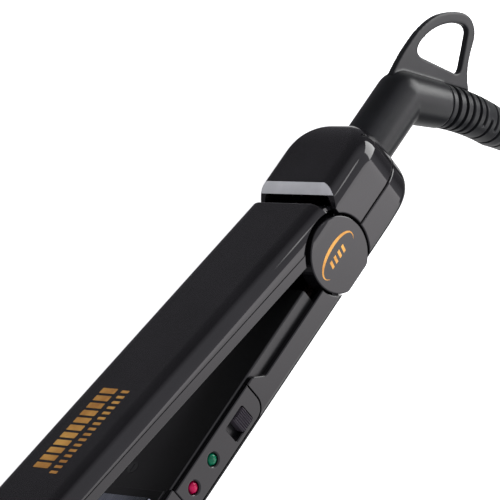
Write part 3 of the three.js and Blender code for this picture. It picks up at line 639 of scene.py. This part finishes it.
def make_plug():
    rings = []
    stations = [15 + 0.7 * i for i in range(50)] + [49.7, 49.9, 50.0]
    for s in stations:
        half, height = plug_section(s)
        pinch = 0.55 * smoothstep((s - 22) / 4) * smoothstep((42 - s) / 3) * (0.5 + 0.5 * math.cos(s * 2.1))
        half -= pinch
        if s > 49.5:
            half -= (s - 49.5) * 0.9
            height -= (s - 49.5) * 0.9
        if s == stations[0]:
            half -= 0.6
            height -= 0.6
        loop = rounded(PLUG_Y - half, PLUG_Y + half, PLUG_Z - height, PLUG_Z + height, [height * 0.75] * 4, 8)
        rings.append([(PLUG_X + s, y, z) for y, z in loop])
    body = loft("plug_grip", rings)
    sleeve = []
    for i in range(0, 65):
        s = i * 0.25
        core = 4.35 + 0.9 * s / PLUG_RELIEF
        groove = 0.5 * smoothstep(math.cos(2 * math.pi * s / 2.6) * 2 - 0.6) if 1.5 < s < 14.5 else 0
        sleeve.append((core - groove, s))
    profile = [(0, 0), (3.7, 0), (4.2, 0.05)] + sleeve[1:] + [(0, 16)]
    relief = lathe("plug_relief", profile, (PLUG_X, PLUG_Y, PLUG_Z), "x", 48)
    join(body, relief)
    return piece(body, "plug_moulding", "satin_black", "fixed_arm", "plug_body")


def make_pins():
    pins = []
    start = 50.3
    angles = [math.radians(a) for a in range(10, 90, 10)]
    crown = [(2.0 * math.cos(a), start + 17.6 + 1.4 * math.sin(a)) for a in angles]
    profile = [(0, start), (2.0, start), (2.0, start + 17.6)] + crown + [(0, start + 19)]
    for number, side in ((1, 9.3), (2, -9.3)):
        pin = lathe("pin", profile, (PLUG_X, PLUG_Y + side, PLUG_Z), "x", 32)
        pins.append(piece(pin, f"plug_contact_{number}", "pin_nickel", "fixed_arm", f"plug_pin_{number}"))
    return pins


def make_tie():
    """A ribbed strap round one side of the coil, with its tongue through a small buckle."""
    low, high = 0.05, 20.45
    inner, outer = COIL_X + 27.5, COIL_X + 48.5
    y0, y1 = COIL_Y - 3.6, COIL_Y + 3.6
    frame_out = rounded(inner - 1.1, outer + 1.1, low, high + 1.1, [0.5, 0.5, 3.2, 3.2], 8)
    frame_in = rounded(inner, outer, low + 0.12, high, [0.3, 0.3, 2.4, 2.4], 8)
    strap = prism("strap", frame_out, y0, y1, "y")
    cut(strap, prism("hollow", frame_in, y0 - 1, y1 + 1, "y"))
    for i in range(6):
        x = inner + 3.2 + i * 2.9
        cut(strap, block("notch", x, x + 0.8, y0 + 1.4, y1 - 1.4, high + 0.75, high + 2))
    loop = rounded(outer - 1.2, outer + 2.2, 6.5, 13, [0.6] * 4, 4)
    buckle = prism("buckle", loop, y0 - 0.9, y1 + 0.9, "y")
    cut(buckle, prism("slot", frame_in, y0 - 2, y1 + 2, "y"))
    join(strap, buckle)
    bevel(strap, 0.25, 2)
    return piece(strap, "coil_strap", "satin_black", "fixed_arm", "coil_tie", finish="boot_rubber")


def make_cord_set():
    cord, path, length = make_cord()
    parts = [make_plug(), *make_pins(), make_tie()]


make_cord_set()


# ---- outlines of the shells -----------------------------------------------------------
def plan_inset(x, inset=0.0, tip_radius=9.0):
    """How far the shell's Z sides have drawn in at x, past the straight part."""
    half = MID - inset
    reach = DOME_LENGTH - inset
    if x < DOME_X:
        share = min((DOME_X - x) / reach, 0.99999)
        return inset + half * (1 - math.sqrt(1 - share * share))
    radius = tip_radius - inset
    past = x - (TIP_X - inset - radius)
    if past > 0:
        return inset + radius - math.sqrt(max(radius ** 2 - min(past, radius) ** 2, 0))
    return inset


def taper(x):
    return TAPER_BY * min(max((x - TAPER_FROM) / (TAPER_TO - TAPER_FROM), 0), 1)


def tip_share(x, tip):
    """From 0 where the tips start rounding to 1 at the tip, slow at first."""
    return 1 - math.sqrt(max(1 - (x - TAPER_TO) / (tip - TAPER_TO), 0))


def fixed_outer(x, inset=0.0):
    rear = DOME_X - DOME_LENGTH + inset
    top = OUTER_Y - inset
    if x < rear + 13:
        t = math.sqrt(max((x - rear) / 13, 0))
        return 2 + (top - 2) * (2 * t - t * t)
    top -= taper(x)
    tip = TIP_X - inset
    if x > TAPER_TO:
        t = tip_share(x, tip)
        return top - (top - 3) * t * t
    return top


def cover_outer(x, inset=0.0):
    rear = DOME_X - DOME_LENGTH + inset
    top = COVER_Y + inset * 1.25
    if x < rear + 16:
        t = math.sqrt(max((x - rear) / 16, 0))
        return -7 + (top + 7) * (2 * t - t * t)
    return top


def arm_outer(x, inset=0.0):
    top = ARM_OUTER_Y + inset + ARM_LEAN * (min(x, TAPER_TO) - TAPER_FROM)
    tip = TIP_X - inset
    if x > TAPER_TO:
        t = tip_share(x, tip)
        return top + 4.5 * t * t
    return top


def dome_stations(inset=0.0, steps=22):
    reach = DOME_LENGTH - inset
    return [DOME_X - reach * math.cos(math.radians(2 + 88 * i / steps)) for i in range(steps)]


def tip_stations(inset=0.0, steps=16):
    reach = TIP_X - inset - TAPER_TO
    return [TAPER_TO + reach * math.sin(math.radians(90 * i / steps)) for i in range(steps + 1)]


def spread(start, end, count):
    return [start + (end - start) * i / count for i in range(count + 1)]


def parting(x):
    """The fixed arm's open edge: the housing's split, a step down, the S-curve and the plate side."""
    if x < 15:
        return GAP / 2
    if x < S_CURVE_X0:
        return 2.5
    if x < S_CURVE_X1:
        return 2.5 - 4.5 * smoothstep((x - S_CURVE_X0) / (S_CURVE_X1 - S_CURVE_X0))
    if x < 113.4:
        return -2.0
    return -2.0 - 1.5 * min((x - 113.4) / 1.0, 1)


# ---- fixed arm ------------------------------------------------------------------------
def hinge_wells(radius, flare=0.55, depth=36.3):
    """The two round recesses for the caps, each with a rounded rim."""
    top = WIDTH
    rim = fillet(radius + flare, top - flare, flare, 180, 90)
    profile = [(0, depth), (radius, depth)] + rim + [(radius + flare, top + 3), (0, top + 3)]
    return lathe("well", profile, steps=160), lathe("well", mirrored(profile), steps=160)


def neck_hole():
    return rod("neck_hole", NECK_R + GAP, -60, -43.6, NECK_Y, MID, "x", 96)


def near_neck(point):
    return point.x < -40 and abs(math.hypot(point.y - NECK_Y, point.z - MID) - NECK_R - GAP) < 0.25


COVER_SCREWS = ((-30, 11), (-30, 30))


def make_fixed_shell():
    middle = [-32.5, -26, -20, -10, 0, 10, 14.98, 15.02, 25, 35, 45, 54.9]
    middle += spread(S_CURVE_X0, S_CURVE_X1, 18)
    middle += [70, 85, 100, 113.35, 113.6, 113.9, 114.2, 114.45] + spread(118, 215, 12)
    stations = dome_stations() + middle + tip_stations()

    def section(x):
        side = plan_inset(x)
        roll = 3.0 + 2.0 * smoothstep((-24 - x) / 22)
        return rounded(parting(x), fixed_outer(x), side, WIDTH - side, [0.7, roll, roll, 0.7], 12)

    def hollow(x):
        side = plan_inset(x, WALL)
        return rounded(-30, fixed_outer(x, WALL), side, WIDTH - side, [0.2, 2, 2, 0.2], 5)

    shell = along_x("fixed_shell", stations, section)
    inner = dome_stations(WALL) + spread(-32, 215, 10) + tip_stations(WALL)
    cut(shell, along_x("hollow", inner, hollow), *hinge_wells(WELL_R), neck_hole())
    opening = rounded(63.9, 114.4, -6, 10.55, [0.1, 0.1, 3.6, 5.8], 12)
    cut(shell, prism("opening", opening, 39.1, 43), block("throat", 67, 112, -6, 9.2, 36, 43))
    for x, z in COVER_SCREWS:
        cut(shell, lathe("head", [(0, 10.2), (2.9, 10.2), (2.9, 11.7)] + fillet(3.2, 11.7, 0.3, 180, 90)
                         + [(3.2, 14), (0, 14)], (x, 0, z), "y", 40))
    soften(shell, 0.35, near_neck)
    soften(shell, 0.3, lambda p: p.z > 40.9 and 60 < p.x < 116 and p.y > -2.5 and p.y < 10.8)
    piece(shell, "fixed_shell_moulding", "body_gloss", "fixed_arm", "fixed_arm_shell")


def make_cover_painted_highlight(section, stations):
    """A painted highlight: a thin light grey band along the top of the cover's front slope, standing in for
    the bright reflection that the glossy black cover shows there.
    """
    # the strip sits just proud of the slope and carries only a painted highlight
    highlight_band = [(-17.7, -19.75), (-17.66, -19.79), (-14.36, -16.49), (-14.4, -16.45)]
    lip = prism("lip", highlight_band, -1, WIDTH + 1)
    common(lip, along_x("cover_form", stations, section))
    piece(lip, "cover_painted_highlight", "body_gloss", "fixed_arm", finish="lip_painted_highlight")


def make_rear_cover():
    stations = dome_stations() + spread(-32.5, -9, 12)

    def section(x):
        side = plan_inset(x)
        return rounded(cover_outer(x), -GAP / 2, side, WIDTH - side, [5, 0.6, 0.6, 8], 14)

    def hollow(x):
        side = plan_inset(x, WALL)
        return rounded(cover_outer(x, WALL), 20, side, WIDTH - side, [3.4, 0.2, 0.2, 5.6], 12)

    cover = along_x("cover", stations, section)
    cut(cover, along_x("hollow", dome_stations(WALL) + spread(-32, 0, 5), hollow))
    slope = [(-18.0, -20.0), (-11.0, -13.0), (-11.0, 5.0), (5.0, 5.0), (5.0, -30.0), (-18.0, -30.0)]
    cut(cover, prism("slope", slope, -2, WIDTH + 2))
    soften(cover, 0.45, lambda p: p.x > -18.6 and abs((p.y + 20) - (p.x + 18)) < 0.4 or abs(p.x + 11) < 0.05)
    cut(cover, *hinge_wells(WELL_R + 0.2, 0.55, 20), neck_hole())
    soften(cover, 0.35, near_neck)
    # adds the painted highlight band on the cover's front slope
    make_cover_painted_highlight(section, stations)
    piece(cover, "rear_cover_moulding", "body_gloss", "fixed_arm", "rear_cover")


def cap_surface(y, shoulder, radius):
    """Height of a cap's face below WIDTH: flat, then rolling over with the housing's shoulder."""
    past = shoulder - y
    if past <= 0:
        return WIDTH
    past = min(past, radius * 0.98)
    return WIDTH - radius + math.sqrt(radius ** 2 - past ** 2)


def make_cap(name, node, top):
    steps = 160
    rim = [(CAP_R - 0.55 + 0.55 * math.sin(math.radians(a)), 0.55 * (1 - math.cos(math.radians(a))))
           for a in range(0, 91, 15)]
    radii = [(r, 0.0) for r in spread(0.4, CAP_R - 0.62, 26)] + rim
    shoulder, roll = (-11.0, 9.0) if top else (-13.8, 6.2)
    verts, faces = [(0, 0, WIDTH)], []
    for r, drop in radii:
        for i in range(steps):
            angle = 2 * math.pi * i / steps
            x, y = r * math.cos(angle), r * math.sin(angle)
            verts.append((x, y, cap_surface(y, shoulder, roll) - drop))
    for i in range(steps):
        angle = 2 * math.pi * i / steps
        verts.append((CAP_R * math.cos(angle), CAP_R * math.sin(angle), 34.5))
    rows = len(radii) + 1
    for i in range(steps):
        j = (i + 1) % steps
        faces.append((0, 1 + i, 1 + j))
        for row in range(rows - 1):
            a = 1 + row * steps
            faces.append((a + i, a + steps + i, a + steps + j, a + j))
    faces.append(tuple(1 + (rows - 1) * steps + i for i in range(steps)))
    if not top:
        verts = [(x, y, WIDTH - z) for x, y, z in verts]
    cap = to_object(name, verts, faces)
    cut(cap, block("side", -20, 20, OUTER_Y - 0.05, 20, -2, WIDTH + 2))
    soften(cap, 0.3, lambda p: abs(p.y - OUTER_Y + 0.05) < 0.02)
    piece(cap, name, "body_gloss", "fixed_arm", node, angle=50)


def make_inner_panel():
    z0, z1 = WALL + GAP, WIDTH - WALL - GAP
    panel = prism("panel", rounded(-2.8, 3.9, z0, z1, [0.9, 0.2, 0.2, 0.9], 8), 20, 115.5, "x")
    cut(panel, block("under", 21.5, 117, -1.2, 5, z0 + 1.5, z1 - 1.5),
        block("side", 61.5, 117, -1.2, 5, z1 - 3, z1 + 1))
    head = fillet(3.3, -2.8, 0.4, 180, 270)[::-1] + [(2.9, -1.4), (0, -1.4), (0, -6), (3.3, -6)]
    for x, z in ((30, MID), (106, 12)):
        cut(panel, lathe("head", head, (x, 0, z), "y", 40))
    piece(panel, "fixed_panel_moulding", "inner_black", "fixed_arm", "fixed_inner_panel")


def make_control_panel():
    outline = rounded(64.3, 114, -2, 10.2, [0.5, 0.5, 3.3, 5.5], 14)
    panel = prism("control", outline, 39.3, WIDTH)
    bevel(panel, 0.7, 5)
    window = rounded(SWITCH_X0, SWITCH_X1, SWITCH_Y0, SWITCH_Y1, [0.7] * 4, 5)
    wider = rounded(SWITCH_X0 - 0.35, SWITCH_X1 + 0.35, SWITCH_Y0 - 0.35, SWITCH_Y1 + 0.35, [1.0] * 4, 5)
    levels = [(window, 38.0), (window, 40.65), (wider, 41.02), (wider, 42.0)]
    cut(panel, loft("window", [[(x, y, z) for x, y in loop] for loop, z in levels]))
    for x in (GREEN_X, RED_X):
        flare = fillet(LAMP_R + 0.75, 40.15, 0.85, 180, 90, 8)
        cut(panel, lathe("lamp_hole", [(0, 38), (LAMP_R - 0.1, 38)] + flare + [(LAMP_R + 0.75, 42), (0, 42)],
                         (x, LAMP_Y, 0), steps=64))
    piece(panel, "control_moulding", "body_gloss", "fixed_arm", "control_panel")


def make_switch():
    x0 = SWITCH_X0 + GAP + 0.05
    y0, y1 = SWITCH_Y0 + GAP, SWITCH_Y1 - GAP
    outline = [(x0, 37.9)]
    pitch = KNOB / KNOB_RIBS
    for i in range(KNOB_RIBS):
        start = x0 + i * pitch
        crown = 0.22 * math.cos(math.pi * (i + 0.5 - KNOB_RIBS / 2) / KNOB_RIBS)
        for share, height in ((0.06, 41.15), (0.2, 41.62), (0.42, 41.75), (0.6, 41.62), (0.74, 41.15)):
            outline.append((start + share * pitch, height + crown))
        outline.append((start + 0.9 * pitch, 41.02))
    outline += [(x0 + KNOB, 41.02), (x0 + KNOB, 37.9)]
    knob = prism("knob", outline, y0, y1, "y")
    bevel(knob, 0.12, 2, 50)
    piece(knob, "switch_knob", "satin_black", "switch", "switch_slider", finish="knob_grey", angle=50)


def make_lamps():
    for name, x, slot in (("lamp_green", GREEN_X, "lamp_green_lens"), ("lamp_red", RED_X, "lamp_red_lens")):
        core = LAMP_R - 0.5
        dome = [(core * math.sin(a), 40.1 + 1.2 * math.cos(a)) for a in map(math.radians, range(0, 91, 6))]
        profile = dome + [(core, 39.7), (LAMP_R - 0.3, 39.5), (LAMP_R, 39.3), (LAMP_R, 34.8), (0, 34.8)]
        lamp = lathe(name, profile, (x, LAMP_Y, 0), steps=64)
        piece(lamp, f"{name}_dome", slot, "fixed_arm", name, angle=50)


# ---- moving arm -----------------------------------------------------------------------
def make_moving_shell():
    stations = [ARM_REAR_X, ARM_REAR_X + 0.1, ARM_REAR_X + 0.35, ARM_REAR_X + 0.8] + spread(0, 110, 8) + \
        spread(118, 215, 12) + tip_stations()

    def section(x):
        side = plan_inset(x)
        lip = max(0, ARM_REAR_X + 0.8 - x)
        drop = 0.8 - math.sqrt(max(0.64 - lip * lip, 0)) if lip > 0 else 0
        return rounded(arm_outer(x) + drop, SEAM_Y - 0.07, side, WIDTH - side, [6.4, 0.2, 0.2, 7.4], 14)

    def hollow(x):
        side = plan_inset(x, WALL)
        return rounded(arm_outer(x, 2), 10, side, WIDTH - side, [4.4, 0.2, 0.2, 5.4], 10)

    shell = along_x("moving_shell", stations, section)
    inner = spread(-30, 215, 12) + tip_stations(WALL)
    cut(shell, along_x("hollow", inner, hollow))
    flare = fillet(ARM_R + 1.9, 38.8, 2.3, 163, 96, 8)
    top = [(0, 20.5), (ARM_R, 20.5), (ARM_R, 39.2)] + flare + [(flare[-1][0], 44), (0, 44)]
    cut(shell, lathe("round", top, steps=200), lathe("round", mirrored(top), steps=200))
    tongue = arc(17.8, range(212, 263, 2)) + arc(ARM_R, range(262, 211, -2))
    join(shell, prism("tongue", tongue, WALL + 0.6, WIDTH - WALL - 0.6))
    piece(shell, "moving_shell_moulding", "body_gloss", "moving_arm", "moving_arm_shell", opened=True)


def make_trim():
    y0, y1 = SEAM_Y + 0.07, ARM_INNER_Y

    def section(x):
        side = plan_inset(x)
        return rounded(y0, y1, side, WIDTH - side, [0.2, 0.6, 0.6, 0.2], 6)

    def hollow(x):
        side = plan_inset(x, WALL)
        return rounded(y0 - 3, y1 + 3, side, WIDTH - side, [0.2] * 4, 3)

    trim = along_x("trim", spread(6, 215, 10) + tip_stations(), section)
    cut(trim, along_x("hollow", spread(0, 215, 6) + tip_stations(WALL), hollow))
    flare = fillet(ARM_R + 0.9, 40.1, 0.9, 180, 95, 6)
    top = [(0, 20.5), (ARM_R, 20.5)] + flare + [(flare[-1][0], 44), (0, 44)]
    cut(trim, lathe("round", top, steps=160), lathe("round", mirrored(top), steps=160))
    soften(trim, 0.3, lambda p: abs(p.y - y1) < 0.05 and WALL - 0.3 < p.z < WIDTH - WALL + 0.3)
    piece(trim, "moving_trim_moulding", "body_gloss", "moving_arm", "moving_arm_trim", opened=True)


def make_moving_panel():
    z0, z1 = WALL + GAP, WIDTH - WALL - GAP
    panel = prism("panel", rounded(-8.4, -7, z0, z1, [0.1, 0.5, 0.5, 0.1], 5), 20.5, 115.5, "x")
    head = [(0, -8.1), (2.8, -8.1)] + fillet(3.1, -7.3, 0.3, 180, 90) + [(3.1, -5), (0, -5)]
    for x in (34, 108):
        cut(panel, lathe("head", head, (x, 0, MID), "y", 40))
    piece(panel, "moving_panel_moulding", "inner_black", "moving_arm",
          "moving_inner_panel", opened=True)


# ---- plates and carriers --------------------------------------------------------------
def make_plate(name, node, body, side, face, opened):
    back = face + side * PLATE_THICK
    low, high = min(face, back), max(face, back)
    radii = [1.5, 0.2, 0.2, 1.5] if side > 0 else [0.2, 1.5, 1.5, 0.2]
    plate = prism("plate", rounded(low, high, PLATE_Z0, PLATE_Z1, radii, 10), PLATE_X0, PLATE_X1, "x")
    bevel(plate, 0.35, 3, 60)
    piece(plate, name, "plate_titanium", body, node, opened=opened)


def make_carrier(name, node, body, side, face, opened):
    front = face + side * 0.55
    back = front + side * 3.2
    low, high = min(front, back), max(front, back)
    z0, z1 = WALL + GAP, WIDTH - WALL - GAP
    outline = rounded(116, 223.5, z0, z1, [0.3, 6.8, 6.8, 0.3], 12)
    frame_body = prism("carrier", outline, low, high, "y")
    bevel(frame_body, 0.5, 3, 60)
    window = rounded(119.7, 220.3, 6.2, 34.8, [1.0] * 4, 5)
    cut(frame_body, prism("window", window, low - 3, high + 3, "y"))
    soften(frame_body, 0.3, lambda p: abs(p.y - front) < 0.05 and 119 < p.x < 221)
    piece(frame_body, name, "inner_black", body, node, opened=opened)


def make_heaters():
    make_plate("fixed_plate_face", "fixed_heater_plate", "fixed_plate", 1, FIXED_FACE_Y, False)
    make_plate("moving_plate_face", "moving_heater_plate", "moving_plate", -1, MOVING_FACE_Y, True)
    make_carrier("fixed_carrier_frame", "fixed_plate_carrier", "fixed_arm", 1, FIXED_FACE_Y, False)
    make_carrier("moving_carrier_frame", "moving_plate_carrier", "moving_arm", -1, MOVING_FACE_Y, True)


# ---- swivelling outlet ----------------------------------------------------------------
def oriented(obj, start, direction):
    """Carries a shape turned about Z, drawn from the origin, onto a start point and direction."""
    turn = Vector((0, 0, 1)).rotation_difference(direction).to_matrix().to_4x4()
    obj.data.transform(Matrix.Translation(Vector(start) * MM) @ turn)
    return obj


def loop_outline():
    """The hanging loop seen from above, out round its tip and back to the boot."""
    return [(-78, -8)] + trace(
        (-79, -12.8),
        ((-92, -15.1), (-104, -15), (-112.4, -10.2), 18),
        ((-118.2, -6.4), (-123.4, -1.2), (-122.9, 3.4), 18),
        ((-122.4, 6.7), (-120.5, 8.9), (-117, 10.4), 12),
        ((-109, 13.4), (-105, 16.4), (-101.5, 22), 16),
    ) + [(-94, 12)]


def loop_hole():
    return trace(
        (-97.4, -10.2),
        ((-104, -10.4), (-110.8, -7.2), (-115.6, -2.2), 14),
        ((-117.3, -0.3), (-118.4, 1.4), (-118.8, 3.0), 8),
        ((-118.9, 4.5), (-118.1, 5.6), (-116.2, 6.5), 8),
        ((-112.5, 8.5), (-109, 10.4), (-105.8, 12.1), 4),
        ((-103.7, 13.2), (-102.1, 12.5), (-101.4, 10.4), 8),
        ((-99, 5.2), (-96.7, 0), (-94.3, -5.2), 4),
        ((-92.9, -8.3), (-94.2, -10.1), (-97.4, -10.2), 8),
    )


def make_elbow():
    """Neck, ball, tail and hanging loop, blended into one moulding."""
    stem = [(0, BEND_X), (NECK_R, BEND_X), (NECK_R, -43.4), (10.9, -43.4), (10.9, -40.8), (6, -40.8),
            (6, -33.6), (0, -33.6)]
    neck = lathe("elbow", stem, (0, NECK_Y, MID), "x", 96)
    round_end = [(NECK_R * math.sin(a), NECK_R * math.cos(a)) for a in map(math.radians, range(0, 181, 4))]
    ball = lathe("ball", round_end, BEND_POINT, "z", 96)
    sleeve = [(0, 0), (NECK_R, 0), (TAIL_R, TAIL - 0.3), (TAIL_R - 0.3, TAIL), (0, TAIL)]
    tail = oriented(lathe("tail", sleeve, steps=96), BEND_POINT, BEND)
    plate = prism("loop", loop_outline(), 19, 22)
    cut(plate, prism("hole", loop_hole(), 10, 30))
    line = resample([Vector(p) for p in bezier(*BOOT_CURVE, steps=60)], 1.0)
    cut(plate, sweep("room", line, lambda i, angle: 8.35, 64))
    join(neck, ball, tail, plate)
    remesh = neck.modifiers.new("remesh", "REMESH")
    remesh.mode = "VOXEL"
    remesh.voxel_size = 0.42 * MM
    blur = neck.modifiers.new("smooth", "SMOOTH")
    blur.factor = 0.5
    blur.iterations = 5
    bake_modifiers(neck)
    piece(neck, "swivel_moulding", "satin_black", "cord_swivel", "swivel_elbow", angle=80)


def boot_radius(share):
    if share < 0.6:
        return 8.6 - 0.6 * share / 0.6
    return 8.0 - 3.4 * (share - 0.6) / 0.4


def make_boot():
    """Ribbed strain relief: ring grooves, each bridged at two places that shift by a quarter turn."""
    line = resample([Vector(p) for p in bezier(*BOOT_CURVE, steps=200)], 0.24)
    length = sum((b - a).length for a, b in zip(line, line[1:]))
    ribs = math.floor(length / BOOT_PITCH)
    pitch = length / ribs
    step = length / (len(line) - 1)

    def radius(i, angle):
        s = i * step
        row = math.floor(s / pitch)
        part = s / pitch - row
        base = boot_radius(s / length)
        groove = smoothstep((part - 0.58) / 0.07) * smoothstep((1.0 - part) / 0.07)
        bridge = abs(math.cos(angle + (math.pi / 2 if row % 2 else 0) + 0.5))
        opened = 1 if row < 4 else smoothstep((0.86 - bridge) / 0.05)
        end = min(s, length - s)
        lip = 0.45 * (1 - math.sqrt(max(1 - (1 - min(end / 0.45, 1)) ** 2, 0)))
        if row >= ribs - 1:
            groove = 0
        return base - BOOT_DEPTH * groove * opened - lip

    boot = sweep("boot", line, radius, 112)
    piece(boot, "boot_moulding", "boot_rubber", "cord_swivel", "cord_boot", angle=60)


# ---- gold print -----------------------------------------------------------------------
def crescent(outer, inner, steps=48):
    there = [outer(i / steps) for i in range(steps + 1)]
    back = [inner(1 - i / steps) for i in range(steps + 1)]
    return there + back


def print_on_cap():
    """A plain swoosh and a row of small bars, raised by the thickness of a foil print."""
    def ring(share, grow):
        angle = math.radians(-205 + 235 * share)
        swell = 0.08 + 0.62 * math.sin(math.pi * share) ** 1.3
        a, b = 10.6 + grow * swell, 4.6 + grow * swell
        x, y = a * math.cos(angle), b * math.sin(angle)
        tilt = math.radians(4)
        return (x * math.cos(tilt) - y * math.sin(tilt) + 0.8, x * math.sin(tilt) + y * math.cos(tilt) - 0.4)

    shapes = [crescent(lambda t: ring(t, 1), lambda t: ring(t, -1))]
    for i in range(4):
        x = -3.9 + 2.7 * i
        shapes.append([(x, -1.7), (x + 1.35, -1.7), (x + 2.05, 1.0), (x + 0.7, 1.0)])
    foil = None
    for shape in shapes:
        part = prism("foil", shape, WIDTH - 0.05, WIDTH + 0.03)
        foil = part if foil is None else join(foil, part)
    piece(foil, "cap_print", "body_gloss", "fixed_arm", finish="gold")


def print_on_arm():
    """Two rows of plain bars in place of lettering."""
    foil = None
    rows = ((12.3, 8.2, 98.0, 142.0, 2.7, 1.2), (23.3, 4.0, 98.5, 142.0, 1.3, 1.5))
    for z, height, start, end, width, space in rows:
        x = start
        while x + width < end:
            face = arm_outer(x + width / 2)
            bar = rounded(x, x + width, z, z + height, [0.25] * 4, 3)
            part = prism("foil", bar, face - 0.05, face + 0.08, "y")
            foil = part if foil is None else join(foil, part)
            x += width + space
    piece(foil, "arm_print", "body_gloss", "moving_arm", finish="gold", opened=True)


# ---- studio ---------------------------------------------------------------------------
def emitter(name, centre, aim, size, strength, colour=(1, 1, 1), fade=None):
    """A flat soft light that the camera doesn't see; fade is (start, end, strength left at the end)."""
    half_u, half_v = size[0] / 2, size[1] / 2
    mesh = bpy.data.meshes.new(name)
    corners = [(-half_u, -half_v, 0), (half_u, -half_v, 0), (half_u, half_v, 0), (-half_u, half_v, 0)]
    mesh.from_pydata(corners, [], [(0, 1, 2, 3)])
    obj = bpy.data.objects.new(name, mesh)
    bpy.context.scene.collection.objects.link(obj)
    direction = (Vector(aim) - Vector(centre)).normalized()
    turn = direction.to_track_quat("Z", "Y").to_matrix().to_4x4()
    obj.matrix_world = Matrix.Translation(Vector(centre)) @ turn
    n = Nodes(name)
    glow = n.add("ShaderNodeEmission")
    glow.inputs["Color"].default_value = (*colour, 1)
    glow.inputs["Strength"].default_value = strength
    if fade:
        split = n.add("ShaderNodeSeparateXYZ")
        n.link(n.position, split.inputs[0])
        level = n.ranged(split.outputs["X"], strength, fade[2], fade[:2])
        n.link(level, glow.inputs["Strength"])
    output = n.tree.nodes["Material Output"]
    n.link(glow.outputs[0], output.inputs["Surface"])
    mesh.materials.append(n.material)
    obj.visible_camera = False
    obj.visible_shadow = False
    return obj


def make_world():
    """A dim room that brightens overhead."""
    world = bpy.data.worlds.new("studio")
    world.use_nodes = True
    nodes, links = world.node_tree.nodes, world.node_tree.links
    background = nodes["Background"]
    background.inputs["Color"].default_value = (0.94, 0.92, 1, 1)
    sky = nodes.new("ShaderNodeTexCoord")
    split = nodes.new("ShaderNodeSeparateXYZ")
    height = nodes.new("ShaderNodeMapRange")
    height.inputs["From Min"].default_value = -1
    shade = nodes.new("ShaderNodeValToRGB")
    elements = shade.color_ramp.elements
    elements.remove(elements[1])
    elements[0].color = (0.15, 0.15, 0.15, 1)
    for position, level in ((0.6, 0.15), (0.8, 0.85)):
        elements.new(position).color = (level, level, level, 1)
    links.new(sky.outputs["Generated"], split.inputs[0])
    links.new(split.outputs["Z"], height.inputs["Value"])
    links.new(height.outputs["Result"], shade.inputs[0])
    links.new(shade.outputs["Color"], background.inputs["Strength"])
    bpy.context.scene.world = world


def make_floor():
    mesh = bpy.data.meshes.new("floor")
    mesh.from_pydata([(-4, -4, 0), (4, -4, 0), (4, 4, 0), (-4, 4, 0)], [], [(0, 1, 2, 3)])
    floor = bpy.data.objects.new("floor", mesh)
    bpy.context.scene.collection.objects.link(floor)
    n = Nodes("floor_paper")
    paper = n.ramp(n.noise(3, 2), (0.3, (0.93, 0.93, 0.93)), (0.7, (0.96, 0.96, 0.96)))
    n.link(paper, n.shader.inputs["Base Color"])
    n.shader.inputs["Roughness"].default_value = 1.0
    n.shader.inputs["Emission Color"].default_value = (1, 1, 1, 1)
    n.shader.inputs["Emission Strength"].default_value = 0.9
    mesh.materials.append(n.material)
    floor.visible_glossy = False
    floor.location.z = -0.0002


def make_lights():
    target = Vector((0.02, 0, 0.02))
    over = Vector((-0.4275, 0.5127, 0.7445))
    emitter("softbox_over", target + over * 1.3, target, (0.66, 0.66), 2.9, (1, 0.965, 1), (-0.06, 0.1, 1.7))
    emitter("softbox_side", target + Vector((-0.3, 0.85, 0.42)).normalized() * 1.3, target, (0.8, 0.5), 2.2)
    cover = Vector((-0.032, -0.014, 0.038))
    emitter("strip_cover", cover + Vector((-0.43, -0.39, 0.82)) * 0.25, cover, (0.016, 0.03), 5.0)
    emitter("blob_dome", cover + Vector((-0.89, 0.117, 0.417)) * 0.3, cover, (0.2, 0.2), 6.0)
    low = target + Vector((-0.5, 0.7, -0.52)).normalized() * 1.0
    emitter("paper_glow", low, target, (1.5, 0.8), 0.8)


def make_studio():
    settings = bpy.context.scene.view_settings
    settings.view_transform = "Standard"
    settings.look = "None"
    make_world()
    make_floor()
    make_lights()


# ---- assembly -------------------------------------------------------------------------
dress_cad_nodes()
make_fixed_shell()
make_rear_cover()
make_cap("hinge_cap_face_top", "hinge_cap_top", True)
make_cap("hinge_cap_face_bottom", "hinge_cap_bottom", False)
make_inner_panel()
make_control_panel()
make_switch()
make_lamps()
make_moving_shell()
make_trim()
make_moving_panel()
make_heaters()
make_elbow()
make_boot()
print_on_cap()
print_on_arm()
make_studio()
